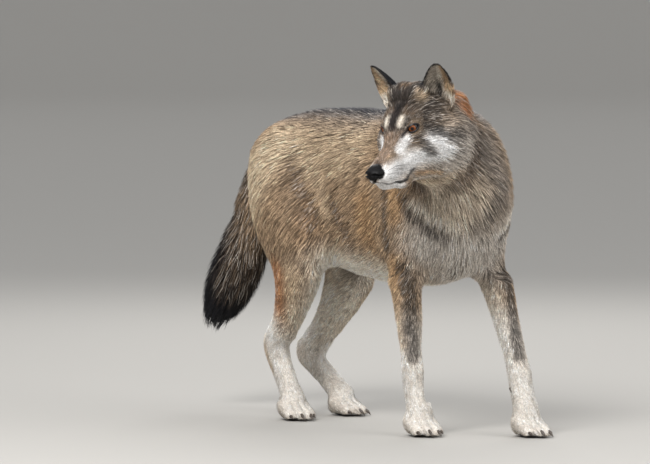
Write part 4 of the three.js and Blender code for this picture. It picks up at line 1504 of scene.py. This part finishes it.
earPaint = [  # where, hold, tone, pepper, and the shares across and up over which each comes in
    ("all", .95, "tan", .1, None, None),
    ("back", .8, "brown", .4, None, None),
    ("back", .8, "rust", .15, None, (.5, .1)),
    ("back", 1, "black", .7, (.1, -.5), None),
    ("cup", .95, "cream", .15, None, None),
    ("cup", .45, "grey", .4, (.1, -.2), None),
    ("cup", .75, "ochre", .1, (.3, .55), (.25, .4)),
    ("cup", .7, "cream", .02, (.3, .55), (.35, .18)),
    # painted shadow down the deep hollow of the cup
    ("hollow", .98, "black", .25, None, (.7, .45)),
    ("edge", .95, "black", .7, None, (.4, .65)),
    ("cup", .95, "soot", .4, (-.84, -.98), None),
]
earShadowAndEdges = {
    # the hollow's dark stripe is painted shadow in the cup's fold; the edges are the ear's own black rims
    "hollow": (.08, .3),  # its middle and its width, as shares across
    "hollowShadowFrom": (-.05, .1),
    "sideEdge": (.88, .98),
    "topEdge": (.93, .99),
}


def onSurface(route):
    # the route laid on the skin in short steps
    return nearestOn(skinTree, denser(route, 6 * len(route) - 5), 0)


markingRoutes = [[onSurface(route) for route in routesOf(patch)] for patch in markings]


def mixIn(values, weight, tone, pepper):
    values += weight[:, None] * (np.array([*srgb(tones[tone]), pepper]) - values)


def paintEars(values, points, normals, owners):
    middle, width = earShadowAndEdges["hollow"]
    for side in (1, -1):
        across, up, here, cup = onEar(points, normals, owners, side)
        # painted shadow along the middle of the cup's hollow
        hollow = np.exp(-((across - middle) / width) ** 2) * fade(up, *earShadowAndEdges["hollowShadowFrom"])
        edge = np.maximum(fade(np.abs(across), *earShadowAndEdges["sideEdge"]), fade(up, *earShadowAndEdges["topEdge"]))
        places = {"all": here, "back": here & ~cup, "cup": cup, "hollow": cup * hollow, "edge": here * edge}
        for place, hold, tone, pepper, *comesIn in earPaint:
            weight = places[place] * hold
            for share, ends in zip((across, up), comesIn):
                weight = weight * fade(share, *ends) if ends else weight
            mixIn(values, weight, tone, pepper)


def markingsAt(points, normals, owners):
    # colour (n, 3) and pepper (n) of the coat at each point
    tone, pepper = groundTone
    values = np.tile([*srgb(tones[tone]), pepper], (len(points), 1))
    for patch, routes in zip(markings, markingRoutes):
        for route in routes:
            reach = patch["reach"] / 1000
            around = (points > route.min(0) - reach) & (points < route.max(0) + reach)
            near = np.nonzero(np.all(around, axis=1))[0]
            gap = gapTo(points[near], route)
            core = patch.get("core", usualCore)
            weight = patch["hold"] * (1 - fade(gap, patch["reach"] * core, patch["reach"]))
            if "on" in patch:
                held = [i for i, node in enumerate(fleshNodes) if node.startswith(patch["on"])]
                weight = weight * np.isin(owners[near], held)
            part = values[near]
            mixIn(part, weight, patch["tone"], patch["pepper"])
            values[near] = part
    paintEars(values, points, normals, owners)
    near = np.nonzero(np.linalg.norm(inHead(points) - edging["near"], axis=1) < edging["reach"])[0]
    part = values[near]
    for gap, name in zip(faceGaps(points[near]), ("lid", "lip")):
        mixIn(part, edging["hold"] * (1 - fade(gap, *edging[name])), "black", edging["pepper"])
    values[near] = part
    return values[:, :3], values[:, 3]


def mottled(points):
    # soft uneven patches, about 5 and 2 centimetres across, between -1 and 1
    x, y, z = (points * 1000).T
    broad = np.sin(x / 17 + 2 * np.sin(z / 23)) * np.sin(y / 19 + 1.7 * np.sin(x / 29))
    broad = broad * np.sin(z / 15 + y / 31)
    small = np.sin(x / 6.1 + 2 * np.sin(z / 7.7)) * np.sin(y / 5.3 + x / 9) * np.sin(z / 6.7 + y / 11)
    return .6 * broad + .4 * small


def guardHair():
    # guard hair: satin keratin, its colour laid on each tuft from root to tip; a grain of 3.6 mm, coarse
    # enough to show, breaks it up as single hairs do
    material, tree = newMaterial("guard hair")
    paint = addNode(tree, "ShaderNodeAttribute", {"attribute_name": "coat"})
    place = addNode(tree, "ShaderNodeTexCoord")
    grain = addNode(tree, "ShaderNodeTexNoise", {"Scale": 1000 / 3.6, "Detail": 3.0},
                    {"Vector": (place, "Object")})
    spread = addNode(tree, "ShaderNodeMapRange",
                     {"From Min": .34, "From Max": .66, "To Min": .68, "To Max": 1.24},
                     {"Value": (grain, "Fac")})
    broken = addNode(tree, "ShaderNodeVectorMath", {"operation": "SCALE"},
                     {"Vector": (paint, "Color"), "Scale": (spread, "Result")})
    shader = addNode(tree, "ShaderNodeBsdfPrincipled",
                     {"Roughness": .6, "Specular IOR Level": .18},
                     {"Base Color": (broken, "Vector")})
    addNode(tree, "ShaderNodeOutputMaterial", {}, {"Surface": (shader, "BSDF")})
    return material


def hideMaterial():
    # skin: under the coat it is short wool in the coat's colours, darkened as painted shade from the tufts
    # above it, in crimps of 1.6 mm; where it is bare it is black and a little moist
    material, tree = newMaterial("wolf skin and short wool")
    paint = addNode(tree, "ShaderNodeAttribute", {"attribute_name": "coat"})
    nakedness = addNode(tree, "ShaderNodeAttribute", {"attribute_name": "bare"})
    place = addNode(tree, "ShaderNodeTexCoord")
    wool = addNode(tree, "ShaderNodeTexNoise", {"Scale": 1000 / 1.6, "Detail": 3.0},
                   {"Vector": (place, "Object")})
    spread = addNode(tree, "ShaderNodeMapRange", {"To Min": .72, "To Max": 1.28}, {"Value": (wool, "Fac")})
    broken = addNode(tree, "ShaderNodeVectorMath", {"operation": "SCALE"},
                     {"Vector": (paint, "Color"), "Scale": (spread, "Result")})
    rough = addNode(tree, "ShaderNodeMapRange", {"To Min": .85, "To Max": .4},
                    {"Value": (nakedness, "Fac")})
    bump = addNode(tree, "ShaderNodeBump", {"Strength": .5, "Distance": .0006}, {"Height": (wool, "Fac")})
    shader = addNode(tree, "ShaderNodeBsdfPrincipled", {"Specular IOR Level": .35},
                     {"Base Color": (broken, "Vector"), "Roughness": (rough, "Result"),
                      "Normal": (bump, "Normal")})
    addNode(tree, "ShaderNodeOutputMaterial", {}, {"Surface": (shader, "BSDF")})
    return material


hairMaterial = guardHair()

# Tufts: closed three-sided spikes. Long ones bend over a middle ring, short ones run straight.

tufts = {
    "long": 14,  # a tuft at least this long, in millimetres, gets the bend
    "root": .6,  # how far the root is sunk, in millimetres
    "lengths": (.75, 1.2),  # spread of the lengths and of the tips' heights
    "heights": (.6, 1.02),
    "middle": .62,  # height of the middle ring, as a share of the tip's
    "onward": .6,  # how far the second half follows the lie where it lands
    "free": (.3, .6),  # how far a tip misses the skin, as a share of half its length, before it runs free
    "ridge": .42,  # height of the section, against its width
    "narrowing": .82,  # width of the middle ring
    "shownAt": .6,  # share of the way from middle to tip where a tuft takes its marking
    "outwards": (.45, .75),  # shading bent out from the spike's own sides and from the skin
    "patch": .003,  # a tuft's share of the bake map
    "mapShare": .99,
    "seed": 7,
}
locks = {
    "apart": 17,  # distance between the middles of locks, in millimetres
    "spread": (.5, 1.3),
    "own": .5,  # how far a tip keeps to its own tuft's sweep, against the lock's
    "inwards": .7,
}
scatter = {
    "thrown": 2.2,  # roots thrown for each that is wanted
    "grade": 1.15,  # step between one size of grid cell and the next
    "cell": 1.12,  # side of a cell, against the distance between roots
}
rng = np.random.default_rng(tufts["seed"])


def scattered(points, triangles, apart):
    # root places on the mesh: a triangle and shares of its corners, about `apart` from each other
    a, b, c = (points[triangles[:, i]] for i in range(3))
    area = np.linalg.norm(np.cross(b - a, c - a), axis=1) / 2
    gap = apart[triangles].mean(axis=1)
    want = area / gap ** 2 * scatter["thrown"]
    picks = np.repeat(np.arange(len(triangles)), rng.poisson(want))
    rng.shuffle(picks)
    u, v = rng.random((2, len(picks)))
    fold = u + v > 1
    u[fold], v[fold] = 1 - u[fold], 1 - v[fold]
    shares = np.column_stack([1 - u - v, u, v])
    places = np.einsum("nk,nkd->nd", shares, points[triangles[picks]])
    level = np.round(np.log(gap[picks]) / math.log(scatter["grade"]))
    cell = scatter["grade"] ** level * scatter["cell"]
    _, first = np.unique(cellKeys(np.column_stack([places / cell[:, None], level])), return_index=True)
    return picks[first], shares[first], places[first]


def onSkin(places):
    # the nearest places on the skin, and a corner of the triangle at each
    hits = [skinTree.find_nearest(p) for p in places.tolist()]
    return np.array([hit[0] for hit in hits]), skinTriangles[[hit[2] for hit in hits], 0]


def growTufts():
    # roots, middles and tips of all tufts, with what else their spikes and colours need
    picks, shares, roots = scattered(skinPoints, skinTriangles, skinCoat[:, 3] / 1000)
    haired = np.einsum("nk,nk->n", shares, skinBare[skinTriangles[picks]]) < .5
    picks, shares, roots = picks[haired], shares[haired], roots[haired]
    corners = skinTriangles[picks]

    def mix(values):
        return np.einsum("nk,nkd->nd", shares, values[corners])

    normals, lie, style = unit(mix(skinNormals)), unit(mix(skinLie)), mix(skinCoat)
    owners = skinOwners[corners[:, 0]]
    depth, length, width, _, wander, gather = style.T
    count = len(roots)
    turn = np.radians(wander) * rng.normal(size=count)
    across = np.cross(normals, lie)
    heading = unit(np.cos(turn)[:, None] * lie + np.sin(turn)[:, None] * across)
    length = length / 1000 * rng.uniform(*tufts["lengths"], count)
    middleAt, near = onSkin(roots + heading * length[:, None] * .5)
    middleNormal = skinNormals[near]
    onward = unit(skinLie[near] * tufts["onward"] + heading * (1 - tufts["onward"]))
    ahead = middleAt + onward * length[:, None] * .5
    tipAt, far = onSkin(ahead)
    tipNormal = skinNormals[far]
    # past the tail's end the tips run free
    slip = np.linalg.norm(ahead - tipAt, axis=1) / (length * .5)
    tailEnds = [fleshNodes.index(node) for node in ("tail_brush", "tail_tip")]
    free = (fade(slip, *tufts["free"]) * np.isin(owners, tailEnds))[:, None]
    tipAt = tipAt + (ahead - tipAt) * free
    tipNormal = unit(tipNormal + (middleNormal - tipNormal) * free)
    height = depth / 1000 * rng.uniform(*tufts["heights"], count) ** .8
    middle = middleAt + middleNormal * (height * tufts["middle"])[:, None]
    tip = tipAt + tipNormal * height[:, None]
    shown = middleAt * (1 - tufts["shownAt"]) + tipAt * tufts["shownAt"]
    return dict(roots=roots, normals=normals, middle=middle, middleNormal=middleNormal, tip=tip,
                tipNormal=tipNormal, picks=picks, shares=shares, shown=shown,
                width=width / 1000, gather=gather, owners=owners, long=length * 1000 > tufts["long"])


grown = growTufts()
say(f"{len(grown['roots'])} tufts")


def locked(grown):
    # draws tips together into locks, each round the tuft nearest to its middle
    roots, tip = grown["roots"], grown["tip"]
    _, middles = np.unique(cellKeys(roots / (locks["apart"] / 1000)), return_index=True)
    tree = KDTree(len(middles))
    for i, m in enumerate(middles.tolist()):
        tree.insert(roots[m], i)
    tree.balance()
    lock = middles[np.array([tree.find(p)[1] for p in roots.tolist()])]
    pull = (grown["gather"] * rng.uniform(*locks["spread"], len(roots)))[:, None]
    sweep = (tip[lock] - roots[lock]) * (1 - locks["own"])
    aim = roots + sweep + (tip - roots) * locks["own"] + (roots[lock] - roots) * locks["inwards"]
    grown["tip"] = tip + pull * (aim - tip)
    grown["lock"] = lock
    return grown


grown = locked(grown)
say("locks gathered")

shading = {
    "own": .24,  # spread of a single tuft's lightness
    "strand": .28,
    "lock": .12,
    "mottle": .12,
    "strandSize": 5,  # millimetres
    "stray": .09,  # how far a tuft's marking strays, as a share of its length
    # darker roots: partly painted shade deep in the coat, partly darker underfur; pale coats get less of
    # the painted shade
    "base": (.36, .8),  # the root's share of the coat's colour, on dark coats and added on pale ones
    "light": (1.05, 1.75),  # pale tips, as a share of the coat's colour
    "dark": (.4, .9),  # how near to black the dark tips come
    "salt": .2,  # share of pale hairs among dark ones
    "salted": (.036, .2),  # how light a coat gets them, as reflectance
    "silver": (.4, .65),  # silver's share of their middle and tip
    "calm": .6,  # how much less a white coat varies
    "together": .6,  # share of tufts that darken with their strand
    "middles": (.6, 1.05),  # the middle's share of the colour, on tufts with dark and with pale tips
    "brightest": (.9, .92),  # of the middle and the tip
}


def colouredTufts(grown):
    count = len(grown["roots"])
    size = np.linalg.norm(grown["tip"] - grown["roots"], axis=1, keepdims=True)
    shown = grown["shown"] + rng.normal(size=(count, 3)) * shading["stray"] * size
    colour, pepper = markingsAt(shown, grown["tipNormal"], grown["owners"])
    _, strand = np.unique(cellKeys(grown["roots"] * 1000 / shading["strandSize"]), return_inverse=True)
    tone = (shading["own"] * rng.normal(size=count) + shading["strand"] * rng.normal(size=count)[strand]
            + shading["lock"] * rng.normal(size=count)[grown["lock"]]
            + shading["mottle"] * mottled(grown["shown"]))
    level = colour.mean(axis=1)
    shade = np.exp(tone * (1 - shading["calm"] * np.minimum(level, 1)))[:, None]
    chance = np.where(rng.random(count) < shading["together"], rng.random(count)[strand], rng.random(count))
    dark = (chance < pepper)[:, None]
    black = np.array(srgb(tones["black"]))
    depth = rng.uniform(*shading["dark"], count)[:, None]
    light = rng.uniform(*shading["light"], count)[:, None]
    darkBase, paleBase = shading["base"]
    # the root's colour: the coat's colour darkened, partly as painted shade deep in the coat, partly as
    # darker underfur
    base = colour * (darkBase + (1 - darkBase) * paleBase * level[:, None]) * shade
    middle = colour * shade * np.where(dark, *shading["middles"])
    tipColour = np.where(dark, colour * (1 - depth) + black * depth, colour * light * shade)
    pale = np.array(srgb(tones["silver"])) * shade
    darkest, lightest = shading["salted"]
    salty = (rng.random(count) < shading["salt"]) & (level > darkest) & (level < lightest)
    middle, tipColour = (np.where(salty[:, None], tone * (1 - share) + pale * share, tone)
                         for tone, share in zip((middle, tipColour), shading["silver"]))
    return base, np.minimum(middle, shading["brightest"][0]), np.minimum(tipColour, shading["brightest"][1])


def spikes(g, colours, chosen, long):
    # arrays of one closed spike for each chosen tuft
    base, middleColour, tipColour = (c[chosen] for c in colours)
    root, tip, middle = g["roots"][chosen], g["tip"][chosen], g["middle"][chosen]
    width = g["width"][chosen][:, None]
    n0, n1 = g["normals"][chosen], g["middleNormal"][chosen]
    root = root - n0 * tufts["root"] / 1000
    count = len(root)

    def ring(at, along, normal, size):
        along = unit(along)
        side = unit(np.cross(normal, along))
        ridge = np.cross(along, side)
        corners = [at + side * size * .5, at - side * size * .5, at + ridge * size * tufts["ridge"]]
        return corners, [side, -side, ridge]

    if long:
        first, firstOut = ring(root, middle - root, n0, width)
        second, secondOut = ring(middle, tip - root, n1, width * tufts["narrowing"])
        corners = np.stack([*first, *second, tip], axis=1)
        outwards = np.stack([*firstOut, *secondOut, n1], axis=1)
        skinOut = np.stack([n0] * 3 + [n1] * 3 + [g["tipNormal"][chosen]], axis=1)
        # the three root corners carry the roots' colour with its painted shade
        paint = np.stack([base] * 3 + [middleColour] * 3 + [tipColour], axis=1)
        faces = [(0, 1, 2), (0, 3, 4), (0, 4, 1), (1, 4, 5), (1, 5, 2), (2, 5, 3), (2, 3, 0),
                 (3, 6, 4), (4, 6, 5), (5, 6, 3)]
        spread = [(-.5, 0), (.5, 0), (0, .12), (-.4, .5), (.4, .5), (0, .56), (0, 1)]  # on the bake map
    else:
        first, firstOut = ring(root, tip - root, n0, width)
        corners = np.stack([*first, tip], axis=1)
        outwards = np.stack([*firstOut, n0], axis=1)
        skinOut = np.stack([n0] * 3 + [g["tipNormal"][chosen]], axis=1)
        # the root corners take half of the roots' colour with its painted shade
        paint = np.stack([(base + middleColour) / 2] * 3 + [(tipColour + middleColour) / 2], axis=1)
        faces = [(0, 1, 2), (0, 3, 1), (1, 3, 2), (2, 3, 0)]
        spread = [(-.5, 0), (.5, 0), (0, .15), (0, 1)]
    size = corners.shape[1]
    triangles = (np.array(faces)[None] + np.arange(count)[:, None, None] * size).reshape(-1, 3)
    bend = unit(outwards * tufts["outwards"][0] + skinOut * tufts["outwards"][1])
    patch = g["map"][chosen][:, None] + np.array(spread)[None] * tufts["patch"]
    flat = (corners.reshape(-1, 3), triangles, paint.reshape(-1, 3), bend.reshape(-1, 3))
    return *flat, patch.reshape(-1, 2)


coatPieces = {
    "coat_loin": ("loin",),
    "coat_chest": ("chest",),
    "coat_neck": ("neck",),
    "coat_head": ("head", "lower_jaw"),
    "coat_ears": ("ear_left", "ear_right"),
    "coat_tail": ("tail_root", "tail_brush", "tail_tip"),
}
for end, joint in (("front", "shoulder"), ("hind", "thigh")):
    for hand in ("right", "left"):
        upper = f"{end}_{hand}_{joint}"
        lower = tuple(n for n in fleshNodes if n.startswith(f"{end}_{hand}") and n != upper)
        coatPieces.update({f"coat_{upper}": (upper,), f"coat_{end}_{hand}_leg": lower})


unwrapping = {"angle": 70, "margin": .002}


def unwrapped(owners):
    # lays the skin under a coat piece out flat: its triangles, and the places of their corners on the map
    faces = np.nonzero(np.isin(skinOwners[skinTriangles], owners).any(axis=1))[0]
    used, local = np.unique(skinTriangles[faces], return_inverse=True)
    mesh = meshFrom("flat", skinPoints[used], local.reshape(-1, 3))
    piece = pieceFrom("flat", mesh)
    mesh.uv_layers.new(name="flat")
    bpy.context.view_layer.objects.active = piece
    piece.select_set(True)
    bpy.ops.object.mode_set(mode="EDIT")
    bpy.ops.mesh.select_all(action="SELECT")
    bpy.ops.uv.smart_project(angle_limit=math.radians(unwrapping["angle"]),
                             island_margin=unwrapping["margin"])
    bpy.ops.object.mode_set(mode="OBJECT")
    corners = np.zeros(len(mesh.loops) * 2, np.float32)
    mesh.uv_layers["flat"].data.foreach_get("uv", corners)
    bpy.data.objects.remove(piece)
    bpy.data.meshes.remove(mesh)
    return faces, corners.reshape(-1, 3, 2)


def makeCoat():
    colours = colouredTufts(grown)
    say("tufts coloured")
    total = 0
    grown["map"] = np.zeros((len(grown["roots"]), 2))
    for name, nodes in coatPieces.items():
        owners = [fleshNodes.index(n) for n in nodes]
        mine = np.isin(grown["owners"], owners)
        faces, corners = unwrapped(owners)
        placeOf = np.full(len(skinTriangles), -1)
        placeOf[faces] = np.arange(len(faces))
        flat = np.einsum("nk,nkd->nd", grown["shares"][mine], corners[placeOf[grown["picks"][mine]]])
        grown["map"][mine] = tufts["patch"] + flat * tufts["mapShare"]
        parts = []
        for long in (True, False):
            chosen = np.nonzero(mine & (grown["long"] == long))[0]
            if len(chosen):
                parts.append(spikes(grown, colours, chosen, long))
        points, triangles = gathered([part[:2] for part in parts])
        mesh = meshFrom(name, points, triangles)
        addColours(mesh, "coat", np.concatenate([part[2] for part in parts]))
        bend = mesh.attributes.new("custom_normal", "FLOAT_VECTOR", "POINT")
        normals = np.concatenate([part[3] for part in parts])
        bend.data.foreach_set("vector", normals.astype(np.float32).ravel())
        places = np.concatenate([part[4] for part in parts])[triangles.ravel()]
        mesh.uv_layers.new(name="OFBake").data.foreach_set("uv", places.astype(np.float32).ravel())
        mesh.materials.append(hairMaterial)
        piece = pieceFrom(name, mesh)
        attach(piece, "root")
        total += len(triangles)
        say(f"{name} {len(triangles)} triangles")
    say(f"coat {total} triangles")


makeCoat()

# painted shade on the wool under the tufts: only part of the coat's colour is kept
wool = {"shade": .5, "lift": .4}  # share of the coat's colour kept, and how much more where it is pale

skinMesh = meshFrom("skin", skinPoints, skinTriangles)
shadedWoolColour = markingsAt(skinPoints, skinNormals, skinOwners)[0]
# painted shade: darker under dark coats, less so under pale ones
shadedWoolColour = shadedWoolColour * (wool["shade"] + wool["lift"] * shadedWoolColour.mean(axis=1, keepdims=True))
nakedColour = np.array(srgb("#1d1a1b"))
addColours(skinMesh, "coat", shadedWoolColour + skinBare[:, None] * (nakedColour - shadedWoolColour))
skinMesh.attributes.new("bare", "FLOAT", "POINT").data.foreach_set("value", skinBare.astype(np.float32))
skinMesh.materials.append(hideMaterial())
skin = pieceFrom("skin", skinMesh)
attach(skin, "root")
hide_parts(*fleshNodes)
say("skin dressed")

# Camera, floor and light.

view = {
    "turn": 56,  # degrees round the animal from its right side towards its front
    "rise": 3,
    "distance": 10.0,  # metres
    "lens": 247.6,
    "sensor": 36,
    "sight": 200,  # how far the camera sees, in metres
    "target": (-.0168, -.0259, .4369),
}


def makeCamera():
    lens = bpy.data.cameras.new("camera")
    lens.lens = view["lens"]
    lens.sensor_width = view["sensor"]
    lens.clip_end = view["sight"]
    camera = bpy.data.objects.new("camera", lens)
    bpy.context.scene.collection.objects.link(camera)
    turn, rise = math.radians(view["turn"]), math.radians(view["rise"])
    away = Vector((math.sin(turn) * math.cos(rise), -math.cos(turn) * math.cos(rise), math.sin(rise)))
    camera.location = Vector(view["target"]) + view["distance"] * away
    camera.rotation_euler = away.to_track_quat("Z", "Y").to_euler()
    bpy.context.scene.camera = camera


cove = {  # metres
    "rings": [1, 3, 8, 18],
    "floor": 34.0,
    "sweep": 14.0,
    "top": 22.0,
    "steps": 12,
    "around": 96,
}


def makeFloor():
    # a round pale floor that sweeps up into its own backdrop
    bend = np.linspace(0, math.pi / 2, cove["steps"])
    flat, edge = cove["rings"], cove["floor"] + cove["sweep"]
    out = np.concatenate([flat, cove["floor"] + cove["sweep"] * np.sin(bend), [edge]])
    rise = np.concatenate([[0] * len(flat), cove["sweep"] * (1 - np.cos(bend)), [cove["top"]]])
    turn = np.arange(cove["around"]) * 2 * math.pi / cove["around"]
    rings = np.stack([out[:, None] * np.cos(turn), out[:, None] * np.sin(turn),
                      np.broadcast_to(rise[:, None], (len(out), len(turn)))], -1)
    count, around = len(out), cove["around"]
    i, k = np.meshgrid(np.arange(count - 1), np.arange(around), indexing="ij")
    a, b = (i * around + k).ravel(), (i * around + (k + 1) % around).ravel()
    middle = [[count * around, k, (k + 1) % around] for k in range(around)]
    triangles = np.concatenate([inRows(a, a + around, b + around, b), middle])
    points = np.concatenate([rings.reshape(-1, 3), [(0, 0, 0)]])
    floor = pieceFrom("floor", meshFrom("floor", points, triangles))
    # studio floor: rolled matt emulsion, with no shine to catch the lamps
    material, tree = newMaterial("matt studio paint")
    shader = addNode(tree, "ShaderNodeBsdfPrincipled",
                     {"Base Color": (*srgb("#a8a5a0"), 1), "Roughness": .9, "Specular IOR Level": .1})
    addNode(tree, "ShaderNodeOutputMaterial", {}, {"Surface": (shader, "BSDF")})
    floor.data.materials.append(material)


studio = {
    "lamps": {  # place and size in metres, power in watts
        "key": dict(place=(2.0, -3.0, 3.5), size=2.0, power=235),
        "fill": dict(place=(3.6, 1.6, 2.2), size=2.6, power=60),
        "rim": dict(place=(-2.6, 2.2, 3.0), size=2.4, power=70),
    },
    "aim": (0, 0, .45),
    "sky": (.95, .97, 1.0, 1),
    "skyStrength": .95,
}


def makeLight():
    for name, lamp in studio["lamps"].items():
        light = bpy.data.lights.new(name, "AREA")
        light.size = lamp["size"]
        light.energy = lamp["power"]
        holder = bpy.data.objects.new(name, light)
        bpy.context.scene.collection.objects.link(holder)
        holder.location = lamp["place"]
        back = Vector(lamp["place"]) - Vector(studio["aim"])
        holder.rotation_euler = back.to_track_quat("Z", "Y").to_euler()
    world = bpy.data.worlds.new("studio")
    world.use_nodes = True
    sky = world.node_tree.nodes["Background"]
    sky.inputs["Color"].default_value = studio["sky"]
    sky.inputs["Strength"].default_value = studio["skyStrength"]
    bpy.context.scene.world = world
    bpy.context.scene.view_settings.view_transform = "Standard"


makeCamera()
makeFloor()
makeLight()
say("studio set")
